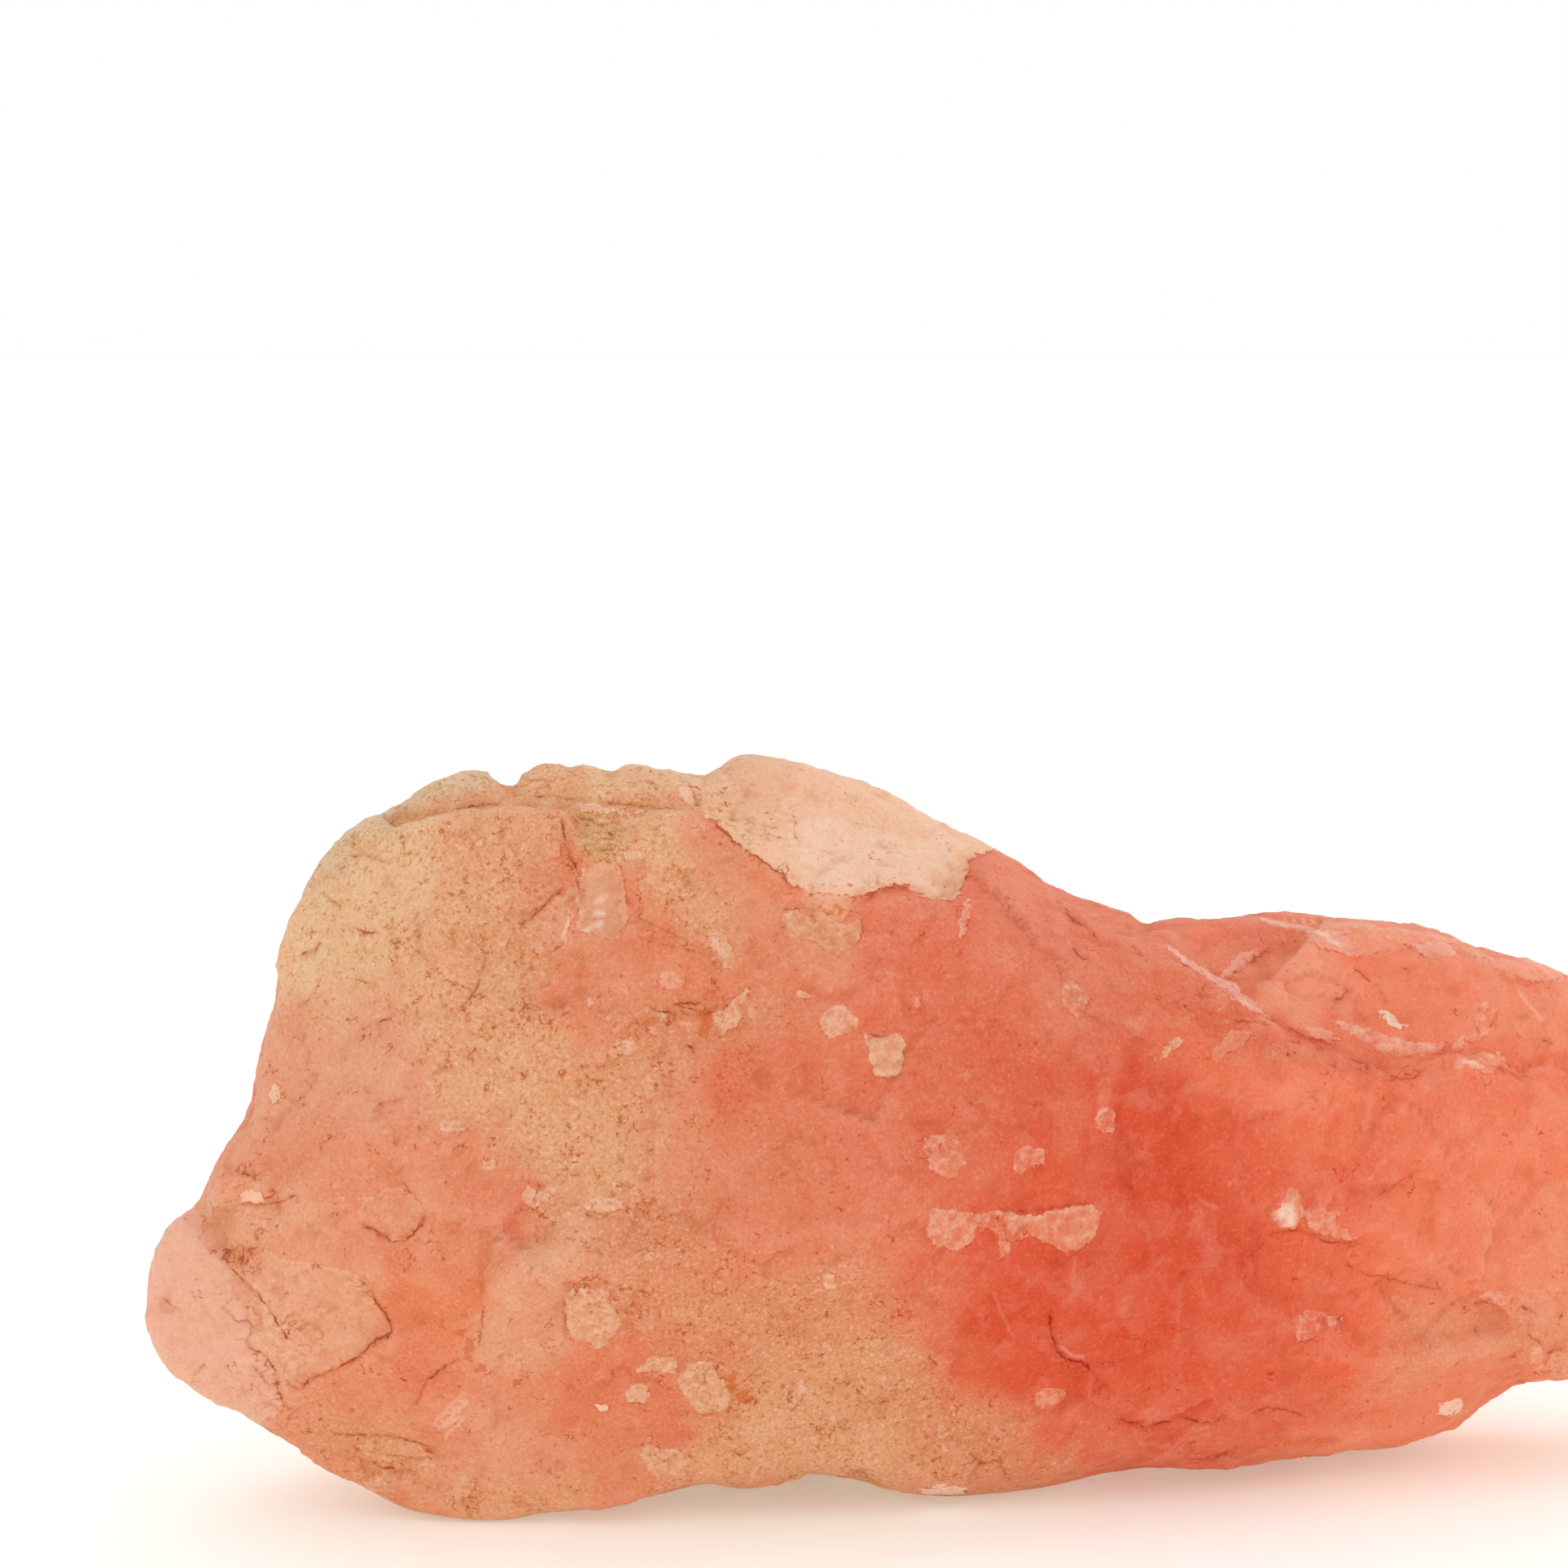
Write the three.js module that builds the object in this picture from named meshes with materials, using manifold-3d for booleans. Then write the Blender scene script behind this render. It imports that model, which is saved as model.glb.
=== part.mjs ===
// A rough lump of rose quartz, broken from massive quartz and lying as it rests on a table.
// Millimetres, +Z up, X along its length, and -Y the broad convex side.
//
// Places on the stone are given as [across, up, depth]. They start from the stone's edge, the ring
// round its widest outline: across and up lie in the leaning plane of that ring, and depth runs from
// it to the back.

import * as THREE from "three";
import { ImprovedNoise } from "three/addons/math/ImprovedNoise.js";
import { mergeVertices } from "three/addons/utils/BufferGeometryUtils.js";
import Module from "manifold-3d";

// Driving dimensions.
const EDGE_LEAN = THREE.MathUtils.degToRad(7); // how far the edge ring leans back from upright
const EDGE_SWEEP = 0.2; // how far the ring runs back for each millimetre to the right
const SWEEP_START = -32.5; // across, where the ring has no sweep
const FLARE = 1 / 300; // how much wider the stone gets for each millimetre of depth
const FLARE_CENTRE = { across: -13.75, up: 50 };
const HUB = { across: -6.4, up: 23.4 }; // the crown of both bulges
const FRONT_BULGE = 15.5;
const BACK_BULGE = 29;
const FLOOR_LEVEL = 0; // height of the table under the stone

// Fineness of the skin: the edge ring has 4 * ROWS points, 2.5 mm apart.
const ROWS = 31;
const SMOOTHING_REACH = 7; // points each way, for the outline without its small nicks
const CUTTER_SIZE = 168;
const CUTTER_CELLS = 42; // each flat break is a sheet of 4 mm cells, so that it can ripple
const CUTTER_START = -70; // depth in front of the stone where its chips' cutters start
const SHELL_FACETS = 17; // fineness of the round cutters
const NICKS_START = 0.8; // reach at which the edge ring's small nicks begin to show

const STONE_COLOUR = 0xe58a74;
const STONE_ROUGHNESS = 0.55;

// How full each bulge is: 2 is an ellipse, and more is flatter with a steeper rim.
const FRONT_FORM = { fullness: 2.7, roundness: 2.1 };
const BACK_FORM = { fullness: 2.2, roundness: 2.3 };

// Soft lumps on the skin, from broad to small.
const FRONT_LUMPS = [
  { size: 30, height: 1.3 },
  { size: 12, height: 0.6 },
];
const BACK_LUMPS = [
  { size: 34, height: 3.2 },
  { size: 14, height: 1.1 },
];

const LUMP_HOLD = 6; // how close to the edge ring the lumps last before they die away

// Where in the field of lumps each side is taken from, so that the two differ.
const FRONT_SEED = 37;
const BACK_SEED = 82;

// How uneven the round cutters are, as shares of their radius.
const SHELL_UNEVENNESS = [
  { size: 0.55, height: 0.05 },
  { size: 0.22, height: 0.015 },
];

// Ripples in the broad breaks.
const BREAK_RIPPLES = [
  { size: 24, height: 1.1 },
  { size: 9, height: 0.45 },
];
const RIPPLE_STEP = 13; // from one break's ripples to the next one's in the field of lumps

// The edge ring, seen from the front, clockwise from the bottom of the left lobe: [across, up].
const EDGE = {
  lobe: [
    [-48.7, 6.2], [-50.9, 7.3], [-53.8, 9.0], [-55.7, 11.1], [-56.8, 12.9],
    [-57.1, 15.1], [-56.6, 17.6], [-56.1, 19.5], [-55.1, 20.4], [-53.4, 21.2],
  ],
  waist: [
    [-53.4, 21.2], [-52.1, 24.0], [-50.9, 26.3], [-49.8, 28.2],
    [-49.7, 30.1], [-49.0, 32.3], [-47.9, 36.4],
  ],
  shoulder: [
    [-47.9, 36.4], [-48.3, 37.9], [-47.6, 40.4], [-45.8, 43.3],
    [-44.4, 45.7], [-42.8, 47.2], [-39.2, 49.4],
  ],
  brow: [[-39.2, 49.4], [-37.7, 50.4], [-35.5, 51.0], [-33.9, 51.0], [-33.5, 50.3], [-32.2, 49.9]],
  crown: [
    [-32.2, 49.9], [-31.2, 51.0], [-30.1, 51.4], [-28.5, 51.3],
    [-27.2, 51.4], [-26.0, 50.8], [-24.3, 51.1], [-18.9, 50.5],
  ],
  crest: [
    [-18.9, 50.5], [-17.8, 51.3], [-16.6, 51.9], [-14.1, 51.6], [-11.3, 50.9],
    [-8.6, 50.1], [-5.7, 48.9], [-3.6, 47.6], [-0.9, 46.5], [2.5, 44.5],
  ],
  saddle: [[2.5, 44.5], [3.2, 43.7], [6.8, 42.1], [9.5, 41.2], [10.8, 40.6]],
  hump: [
    [10.8, 40.6], [11.9, 41.0], [15.6, 40.9], [18.8, 41.2], [26.6, 40.7],
    [30.2, 40.3], [34.3, 38.7], [37.1, 38.2], [39.4, 37.3],
  ],
  farTop: [[39.4, 37.3], [43.7, 35.4], [47.5, 33.8], [50.6, 31.6]],
  farEnd: [[50.6, 31.6], [54.1, 28.8], [56.5, 24.0], [57.2, 19.6], [55.7, 15.6]],
  farFoot: [[55.7, 15.6], [51.9, 13.0], [46.4, 10.4], [40.9, 9.8], [36.8, 9.8]],
  keel: [
    [36.8, 9.8], [34.6, 8.9], [32.0, 6.7], [28.8, 5.6], [24.7, 4.8],
    [20.6, 4.5], [15.6, 3.7], [12.3, 3.8], [8.5, 3.4], [4.1, 2.4],
  ],
  arch: [
    [4.1, 2.4], [-0.1, 1.9], [-4.2, 1.8], [-8.6, 2.8],
    [-11.1, 3.4], [-13.3, 3.0], [-15.7, 2.3], [-18.8, 2.7],
  ],
  belly: [
    [-18.8, 2.7], [-22.9, 1.8], [-26.2, 1.0], [-30.3, 0.7],
    [-32.8, 0.1], [-36.1, 0.3], [-39.1, 0.8],
  ],
  foot: [[-39.1, 0.8], [-41.2, 1.7], [-43.2, 3.0], [-45.3, 4.1], [-48.7, 6.2]],
};

// Chips broken out of the front. Each corner is [across, up, sink], where sink is how far the chip's
// floor lies under the skin there. A chip that runs out over the edge has corners outside the ring.
const CHIPS = {
  cap: [
    [-20.3, 48.6, 1.6], [-18.2, 47.1, 2.0], [-15.7, 45.4, 2.2], [-13.3, 43.5, 2.2], [-11.9, 42.1, 2.0],
    [-8.6, 42.0, 2.0], [-5.8, 43.0, 2.0], [-2.8, 42.1, 2.2], [-1.4, 44.1, 2.0], [-0.3, 45.6, 1.6],
    [1.5, 52, 0.4], [-9, 56, 0.4], [-21, 56, 0.4],
  ],
  crownStrip: [
    [-40.5, 46.8, 0.9], [-34.0, 48.4, 1.4], [-27.0, 48.3, 1.5], [-19.6, 48.2, 1.4],
    [-19.6, 56, 0.3], [-31, 56, 0.3], [-43, 53, 0.3],
  ],
  crownHollow: [[-28.8, 49.0, 2.6], [-22.5, 49.2, 1.8], [-24.6, 45.8, 1.2], [-27.6, 43.9, 1.8]],
  humpFace: [
    [11.4, 39.7, 1.0], [16.7, 35.8, 1.8], [21.1, 32.6, 1.8], [26.6, 31.0, 1.5], [31.2, 31.8, 1.3],
    [37.5, 29.6, 1.0], [47.0, 24.5, 0.6], [62, 18, 0.3], [62, 40, 0.3],
    [40, 48, 0.4], [20, 48, 0.4], [10.9, 45, 0.4],
  ],
  humpWedge: [[12.6, 39.6, 1.6], [17.3, 35.4, 2.8], [23.4, 41.0, 1.8], [23.4, 46, 0.6], [12, 46, 0.6]],
  lobeFace: [
    [-52.7, 20.4, 1.2], [-50.9, 17.4, 2.3], [-48.2, 12.6, 2.8], [-47.0, 9.4, 2.6], [-47.4, 5.4, 1.4],
    [-49, 0, 0.3], [-62, 4, 0.3], [-62, 25, 0.3], [-52.9, 25, 0.3],
  ],
  lobeDiamond: [
    [-52.9, 20.6, 1.0], [-50.3, 23.0, 1.2], [-46.2, 21.4, 1.0], [-42.7, 16.8, 1.0],
    [-40.5, 13.0, 1.2], [-46.6, 9.1, 1.5], [-50.2, 16.2, 1.4],
  ],
  midStep: [
    [-40.0, 26.0, 0.6], [-30.5, 24.5, 1.1], [-28.4, 19.4, 1.6], [-33.0, 17.2, 1.7],
    [-34.6, 10.8, 1.5], [-38.2, 8.4, 0.9], [-40.8, 14.5, 0.8],
  ],
  footLedge: [[-43.6, 5.8, 0.9], [-38.4, 5.4, 1.2], [-35.6, 3.9, 1.0], [-36.6, 2.2, 0.5], [-42.0, 3.2, 0.4]],
  rightFlake: [
    [15.5, 22.0, 0.8], [21.4, 21.4, 1.2], [34.5, 15.4, 1.3],
    [36.0, 12.6, 1.0], [26.0, 10.8, 0.6], [17.6, 15.5, 0.6],
  ],
};

// Broad breaks. The stone is cut back to a nearly flat face which lies sink under the skin at a
// place on the named side, and faces the way given as [x, y, z].
const FLAT_BREAKS = [
  { side: "front", at: [-37, 40], sink: 1.2, facing: [-0.42, -0.8, 0.43] },
  { side: "front", at: [-24, 9], sink: 0.9, facing: [-0.14, -0.88, -0.45] },
  { side: "front", at: [11, 11], sink: 0.8, facing: [0.12, -0.9, -0.42] },
  { side: "front", at: [33, 23], sink: 0.9, facing: [0.34, -0.93, 0.08] },
  { side: "front", at: [2, 34], sink: 0.6, facing: [0.08, -0.93, 0.36] },
  { side: "back", at: [-30, 31], sink: 3.0, facing: [-0.5, 0.78, 0.38] },
  { side: "back", at: [2, 34], sink: 3.0, facing: [0.08, 0.72, 0.69] },
  { side: "back", at: [24, 29], sink: 1.8, facing: [0.3, 0.68, 0.67] },
  { side: "back", at: [34, 20], sink: 2.4, facing: [0.6, 0.8, 0.05] },
  { side: "back", at: [-12, 17], sink: 2.4, facing: [-0.1, 0.98, -0.12] },
  { side: "back", at: [14, 12], sink: 1.8, facing: [0.2, 0.85, -0.48] },
  { side: "back", at: [-30, 12], sink: 1.5, facing: [-0.4, 0.78, -0.48] },
  { side: "back", at: [-46, 22], sink: 1.6, facing: [-0.86, 0.5, 0.05] },
  { side: "back", at: [51, 21], sink: 2.2, facing: [0.93, 0.36, 0.02] },
];

// Shell-shaped breaks, as quartz leaves. Each is cut by an egg of the given radius, long times as
// long as it is wide, and turned about the way it faces.
const SHELL_BREAKS = [
  { side: "front", at: [-38, 22], sink: 1.4, radius: 30, long: 1.5, turned: 60, facing: [-0.2, -1, 0.1] },
  { side: "front", at: [24, 25], sink: 1.0, radius: 30, long: 1.7, turned: 15, facing: [0.15, -1, 0.1] },
  { side: "front", at: [-17, 37], sink: 1, radius: 30, long: 1.6, turned: -25, facing: [-0.1, -1, 0.3] },
  { side: "front", at: [2, 12], sink: 0.9, radius: 28, long: 1.8, turned: 70, facing: [0.0, -0.9, -0.4] },
  { side: "back", at: [-9, 40], sink: 3, radius: 34, long: 1.8, turned: 20, facing: [0.05, 0.55, 0.83] },
  { side: "back", at: [20, 15], sink: 3.6, radius: 26, long: 1.7, turned: -30, facing: [0.3, 0.9, -0.3] },
  { side: "back", at: [-34, 17], sink: 3, radius: 24, long: 1.5, turned: 40, facing: [-0.4, 0.9, -0.15] },
  { side: "back", at: [38, 29], sink: 2.4, radius: 30, long: 1.6, turned: 80, facing: [0.5, 0.5, 0.7] },
  { side: "back", at: [-24, 36], sink: 3.6, radius: 26, long: 1.8, turned: -50, facing: [-0.4, 0.8, 0.45] },
];

// Hollows under the stone, between the places where it stands. top is the height of the hollow.
const UNDER_HOLLOWS = [
  { x: -19, y: 15, top: 1.6, radius: 34 },
  { x: 11, y: 27, top: 1.5, radius: 30 },
  { x: -44, y: 16, top: 2.2, radius: 30 },
];

const lumpField = new ImprovedNoise();

// The edge ring as evenly spaced points along each stretch, 4 * ROWS in all.
function samplesOfEdge() {
  const stretches = Object.values(EDGE).map(
    (points) => new THREE.CatmullRomCurve3(points.map(([across, up]) => new THREE.Vector3(across, up, 0))),
  );
  const total = stretches.reduce((sum, curve) => sum + curve.getLength(), 0);
  const ring = [];
  let walked = 0;
  for (const curve of stretches) {
    const from = Math.round((walked / total) * 4 * ROWS);
    walked += curve.getLength();
    const steps = Math.round((walked / total) * 4 * ROWS) - from;
    ring.push(...curve.getSpacedPoints(steps).slice(0, -1));
  }
  return ring;
}

// The same ring with its small nicks averaged out.
function smoothed(ring) {
  return ring.map((_, i) => {
    const mean = new THREE.Vector3();
    for (let k = -SMOOTHING_REACH; k <= SMOOTHING_REACH; k++) {
      mean.add(ring[(i + k + ring.length) % ring.length]);
    }
    return mean.divideScalar(2 * SMOOTHING_REACH + 1);
  });
}

const edgeRing = samplesOfEdge();
const softRing = smoothed(edgeRing);

// A point of a ring at turn, where a whole turn is 1.
function ringPoint(ring, turn) {
  const place = THREE.MathUtils.euclideanModulo(turn, 1) * ring.length;
  const low = Math.floor(place) % ring.length;
  return ring[low].clone().lerp(ring[(low + 1) % ring.length], place - Math.floor(place));
}

// How far back the edge ring itself lies.
function sweepDepth(across) {
  return EDGE_SWEEP * (across - SWEEP_START);
}

// From [across, up, depth] to the room's X, Y and Z.
function inRoom(across, up, depth) {
  const widening = 1 + depth * FLARE;
  const right = FLARE_CENTRE.across + (across - FLARE_CENTRE.across) * widening;
  const rise = FLARE_CENTRE.up + (up - FLARE_CENTRE.up) * widening;
  return new THREE.Vector3(
    right,
    rise * Math.sin(EDGE_LEAN) + depth * Math.cos(EDGE_LEAN),
    rise * Math.cos(EDGE_LEAN) - depth * Math.sin(EDGE_LEAN),
  );
}

// The height at a place of a list of lumps, each of its own size.
function lumpHeight(lumps, x, y, z) {
  const heights = lumps.map(({ size, height }) => height * lumpField.noise(x / size, y / size, z / size));
  return heights.reduce((sum, height) => sum + height, 0);
}

// The skin's depth on one side, at reach between the hub (0) and the edge (1).
function bulgeDepth(side, reach, across, up) {
  const front = side === "front";
  const form = front ? FRONT_FORM : BACK_FORM;
  const bulge = (1 - reach ** form.fullness) ** (1 / form.roundness);
  const fade = 1 - reach ** LUMP_HOLD;
  const lumps = front
    ? lumpHeight(FRONT_LUMPS, across, up, FRONT_SEED)
    : lumpHeight(BACK_LUMPS, across, up, BACK_SEED);
  const outward = (front ? FRONT_BULGE : BACK_BULGE) * bulge + lumps * fade;
  return sweepDepth(across) + (front ? -outward : outward);
}

// How far a place lies from the hub to the edge, 0 to 1.
function reachOf(across, up) {
  const target = new THREE.Vector2(across - HUB.across, up - HUB.up);
  for (let i = 0; i < softRing.length; i++) {
    const a = softRing[i];
    const b = softRing[(i + 1) % softRing.length];
    const spokeA = new THREE.Vector2(a.x - HUB.across, a.y - HUB.up);
    const spokeB = new THREE.Vector2(b.x - HUB.across, b.y - HUB.up);
    const whole = spokeA.cross(spokeB);
    const shareB = spokeA.cross(target) / whole;
    const shareA = target.cross(spokeB) / whole;
    if (shareA >= 0 && shareB >= 0) return Math.min(shareA + shareB, 1);
  }
  return 1;
}

// The skin's depth on one side at a place, before anything is broken off.
function skinDepth(side, across, up) {
  return bulgeDepth(side, reachOf(across, up), across, up);
}

// The whole lump before its breaks. An octahedron's skin is laid over it: its waist is the edge
// ring, and its two tips are the crowns of the bulges.
function lumpGeometry() {
  const geometry = bare(new THREE.OctahedronGeometry(1, ROWS - 1));
  const position = geometry.attributes.position;
  for (let i = 0; i < position.count; i++) {
    const x = position.getX(i);
    const y = position.getY(i);
    const z = position.getZ(i);
    const waist = Math.abs(x) + Math.abs(y);
    const climb = (waist / (waist + Math.abs(z))) * (Math.PI / 2);
    const side = z >= 0 ? "front" : "back";
    const form = z >= 0 ? FRONT_FORM : BACK_FORM;
    const reach = Math.sin(climb) ** (2 / form.fullness);
    const turn = waist > 0 ? squareTurn(x, y, waist) : 0;
    const detail = THREE.MathUtils.smoothstep(reach, NICKS_START, 1);
    const edge = ringPoint(softRing, turn).lerp(ringPoint(edgeRing, turn), detail);
    const across = THREE.MathUtils.lerp(HUB.across, edge.x, reach);
    const up = THREE.MathUtils.lerp(HUB.up, edge.y, reach);
    position.setXYZ(i, ...inRoom(across, up, bulgeDepth(side, reach, across, up)));
  }
  return geometry;
}

// The clockwise turn from the left, measured round a square so that the waist's points are even.
function squareTurn(x, y, waist) {
  const quarter = Math.abs(y) / waist / 4;
  if (x <= 0 && y >= 0) return quarter;
  if (y >= 0) return 0.5 - quarter;
  if (x > 0) return 0.5 + quarter;
  return 1 - quarter;
}

// A geometry's positions alone, with shared points merged.
function bare(geometry) {
  geometry.deleteAttribute("normal");
  geometry.deleteAttribute("uv");
  return mergeVertices(geometry);
}

const wasm = await Module();
wasm.setup();

// A closed geometry as a solid that can be cut.
function solidOf(geometry) {
  return new wasm.Manifold(
    new wasm.Mesh({
      numProp: 3,
      vertProperties: geometry.attributes.position.array,
      triVerts: new Uint32Array(geometry.index.array),
    }),
  );
}

// A solid as a geometry with flat faces.
function geometryOf(solid) {
  const mesh = solid.getMesh();
  const geometry = new THREE.BufferGeometry();
  geometry.setAttribute("position", new THREE.BufferAttribute(mesh.vertProperties, 3));
  geometry.setIndex(new THREE.BufferAttribute(mesh.triVerts, 1));
  return geometry;
}

// The cutter of a chip: a prism with the chip's outline, from in front of the stone to its floor.
function chipCutter(corners) {
  const outline = new THREE.Shape(corners.map(([across, up]) => new THREE.Vector2(across, up)));
  const geometry = bare(new THREE.ExtrudeGeometry(outline, { depth: 1, bevelEnabled: false }));
  const position = geometry.attributes.position;
  for (let i = 0; i < position.count; i++) {
    const across = position.getX(i);
    const up = position.getY(i);
    const isFloor = position.getZ(i) < 0.5;
    const corner = corners.find(([a, u]) => Math.hypot(a - across, u - up) < 1e-3);
    const depth = isFloor ? skinDepth("front", across, up) + corner[2] : CUTTER_START;
    position.setXYZ(i, ...inRoom(across, up, depth));
  }
  return solidOf(geometry);
}

// The turned place of a cutter whose face passes sink under the skin and is reach from its middle.
function cutterPlace({ side, at, sink, facing }, reach) {
  const outward = new THREE.Vector3(...facing).normalize();
  const skin = inRoom(...at, skinDepth(side, ...at));
  const middle = skin.addScaledVector(outward, reach - sink);
  const turn = new THREE.Quaternion().setFromUnitVectors(new THREE.Vector3(0, 0, 1), outward);
  return new THREE.Matrix4().compose(middle, turn, new THREE.Vector3(1, 1, 1));
}

// The cutter of a broad break: a block whose face towards the stone ripples.
function flatCutter(flat, seed) {
  const side = CUTTER_SIZE;
  const block = bare(new THREE.BoxGeometry(side, side, side, CUTTER_CELLS, CUTTER_CELLS, 1));
  const position = block.attributes.position;
  for (let i = 0; i < position.count; i++) {
    const z = position.getZ(i);
    const ripple = lumpHeight(BREAK_RIPPLES, position.getX(i), position.getY(i), seed * RIPPLE_STEP);
    if (z < 0) position.setZ(i, z + ripple);
  }
  return solidOf(block.applyMatrix4(cutterPlace(flat, side / 2)));
}

// An uneven ball.
function roughBall(radius, seed) {
  const ball = bare(new THREE.IcosahedronGeometry(1, SHELL_FACETS));
  const position = ball.attributes.position;
  const point = new THREE.Vector3();
  for (let i = 0; i < position.count; i++) {
    point.fromBufferAttribute(position, i);
    const swell = 1 + lumpHeight(SHELL_UNEVENNESS, point.x, point.y, point.z + seed);
    position.setXYZ(i, ...point.multiplyScalar(radius * swell));
  }
  return ball;
}

// The cutter of a shell-shaped break.
function shellCutter(shell, seed) {
  const egg = roughBall(shell.radius, seed);
  egg.scale(shell.long, 1, 1).rotateZ(THREE.MathUtils.degToRad(shell.turned));
  return solidOf(egg.applyMatrix4(cutterPlace(shell, shell.radius)));
}

// A ball that hollows the underside to the height top, with its crown over [x, y].
function hollowCutter({ x, y, top, radius }, seed) {
  return solidOf(roughBall(radius, seed).translate(x, y, FLOOR_LEVEL + top - radius));
}

// Everything below the table.
function tableCutter() {
  const box = bare(new THREE.BoxGeometry(CUTTER_SIZE, CUTTER_SIZE, CUTTER_SIZE));
  return solidOf(box.translate(0, 0, FLOOR_LEVEL - CUTTER_SIZE / 2));
}

function roseQuartz() {
  const cutters = [
    ...FLAT_BREAKS.map(flatCutter),
    ...SHELL_BREAKS.map(shellCutter),
    ...Object.values(CHIPS).map(chipCutter),
    ...UNDER_HOLLOWS.map(hollowCutter),
    tableCutter(),
  ];
  const stone = cutters.reduce((solid, cutter) => solid.subtract(cutter), solidOf(lumpGeometry()));
  const geometry = geometryOf(stone);
  const material = new THREE.MeshStandardMaterial({
    color: STONE_COLOUR,
    roughness: STONE_ROUGHNESS,
    metalness: 0,
    flatShading: true,
  });
  const mesh = new THREE.Mesh(geometry, material);
  mesh.name = "rose_quartz";
  geometry.computeBoundingBox();
  const centre = geometry.boundingBox.getCenter(new THREE.Vector3());
  mesh.position.set(-centre.x, -centre.y, -FLOOR_LEVEL);
  return mesh;
}

const specimen = new THREE.Group();
specimen.add(roseQuartz());

export default specimen;
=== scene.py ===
"""A piece of rough rose quartz resting on a plain pale floor, in metres.

The solid's own skin is remeshed finely, roughened with breaks, flakes and cracks, and painted:
soft washes of colour, crisp flakes over them, and thin cracks and veins. Each is placed by pixels
of a front view, which are turned into millimetres on the upright plane of the stone's outline.
"""
import logging
import math
import random
from dataclasses import dataclass, field
from enum import Enum, IntEnum
from functools import reduce

import bmesh
import bpy
import numpy as np
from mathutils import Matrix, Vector, kdtree, noise


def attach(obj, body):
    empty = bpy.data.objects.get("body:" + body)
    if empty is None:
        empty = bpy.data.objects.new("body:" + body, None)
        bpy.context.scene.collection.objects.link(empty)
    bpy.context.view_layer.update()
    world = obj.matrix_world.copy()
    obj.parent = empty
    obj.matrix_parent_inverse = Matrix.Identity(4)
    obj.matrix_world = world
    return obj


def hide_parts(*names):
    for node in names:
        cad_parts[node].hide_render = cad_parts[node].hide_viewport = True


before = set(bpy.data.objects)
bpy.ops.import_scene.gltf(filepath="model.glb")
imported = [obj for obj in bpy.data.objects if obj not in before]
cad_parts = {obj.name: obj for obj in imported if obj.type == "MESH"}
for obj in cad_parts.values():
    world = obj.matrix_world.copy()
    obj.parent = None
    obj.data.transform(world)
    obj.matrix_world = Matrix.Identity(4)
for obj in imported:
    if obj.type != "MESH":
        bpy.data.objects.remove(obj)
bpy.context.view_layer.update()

LOG = logging.getLogger("rose_quartz")
NODE = "rose_quartz"
MM = 0.001
SAME_PLACE = 1e-6
# The width in mm of a pixel of the front view, and the pixel at 0, 0 on the face.
PIXEL = 0.055
VIEW_FOOT = (1216, 1876)
# The light that the sheen adds to each channel, and what the brown specks take from it.
SHEEN = (0.004, 0.010, 0.010)
SPECKS = (0.02, 0.04, 0.05)
DARKEST = 0.004
HALF_WAY = (0.5, 0.5, 0.5)
# How far apart two seeds lie in the noise.
SEED_STRIDE = Vector((17.3, -9.1, 5.7))
Pixel = tuple[int, int]
Span = tuple[float, float]
Corners = tuple[Span, ...]
Colour = tuple[float, float, float]
Place = tuple[float, float, float]


class Tint(Enum):
    """Named colours of the quartz and its stains: red, green and blue out of 255, then grime."""

    CREAM = (241, 191, 160, 0.30)
    OAT = (219, 188, 154, 0.90)
    AMBER = (229, 185, 143, 0.85)
    OLIVE = (213, 164, 112, 1.00)
    HONEY = (226, 175, 132, 0.90)
    SAND = (225, 165, 122, 0.95)
    WHEAT = (220, 156, 114, 0.90)
    CLAY = (219, 142, 102, 0.80)
    PEACH = (228, 160, 127, 0.40)
    SHRIMP = (228, 151, 116, 0.35)
    SALMON = (227, 143, 107, 0.40)
    CORAL = (225, 130, 95, 0.35)
    GINGER = (227, 129, 88, 0.35)
    ROSE = (227, 122, 91, 0.30)
    MELON = (226, 127, 98, 0.25)
    BRICK = (222, 111, 79, 0.30)
    SCARLET = (228, 103, 74, 0.20)
    RED = (223, 97, 68, 0.15)
    EMBER = (218, 87, 59, 0.12)
    TANGERINE = (235, 119, 86, 0.20)
    APRICOT = (239, 134, 101, 0.15)
    MANGO = (238, 145, 111, 0.25)
    BLUSH = (235, 175, 150, 0.15)
    PETAL = (238, 164, 143, 0.05)
    SHELL = (229, 143, 111, 0.30)
    SHELLED = (241, 158, 126, 0.15)
    FROST = (228, 169, 134, 0.50)
    STRAW = (224, 167, 129, 0.60)
    MILK = (246, 212, 192, 0.05)
    RUST = (204, 98, 40, 1.00)

    @property
    def linear(self) -> Colour:
        """The colour as linear light, without the white that the sheen lays over it."""
        return tuple(
            max(self._light(part / 255) * (1 + speck * self.grime) - sheen, DARKEST)
            for part, sheen, speck in zip(self.value, SHEEN, SPECKS)
        )

    @property
    def grime(self) -> float:
        """How thickly brown specks lie on it, from 0 to 1."""
        return self.value[3]

    @staticmethod
    def _light(part: float) -> float:
        """One channel from screen value to linear light, by the usual curve of a screen."""
        return part / 12.92 if part <= 0.04045 else ((part + 0.055) / 1.055) ** 2.4


class Seed(IntEnum):
    """Which part of the noise each use of it takes."""

    WASH_ACROSS = 1
    WASH_UP = 2
    FLAKE_ACROSS = 3
    FLAKE_UP = 4
    BACK_X = 5
    BACK_Y = 6
    BACK_Z = 7
    SWELL = 8
    GRAIN = 9
    WRAP = 12
    CLOUD = 14


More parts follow.
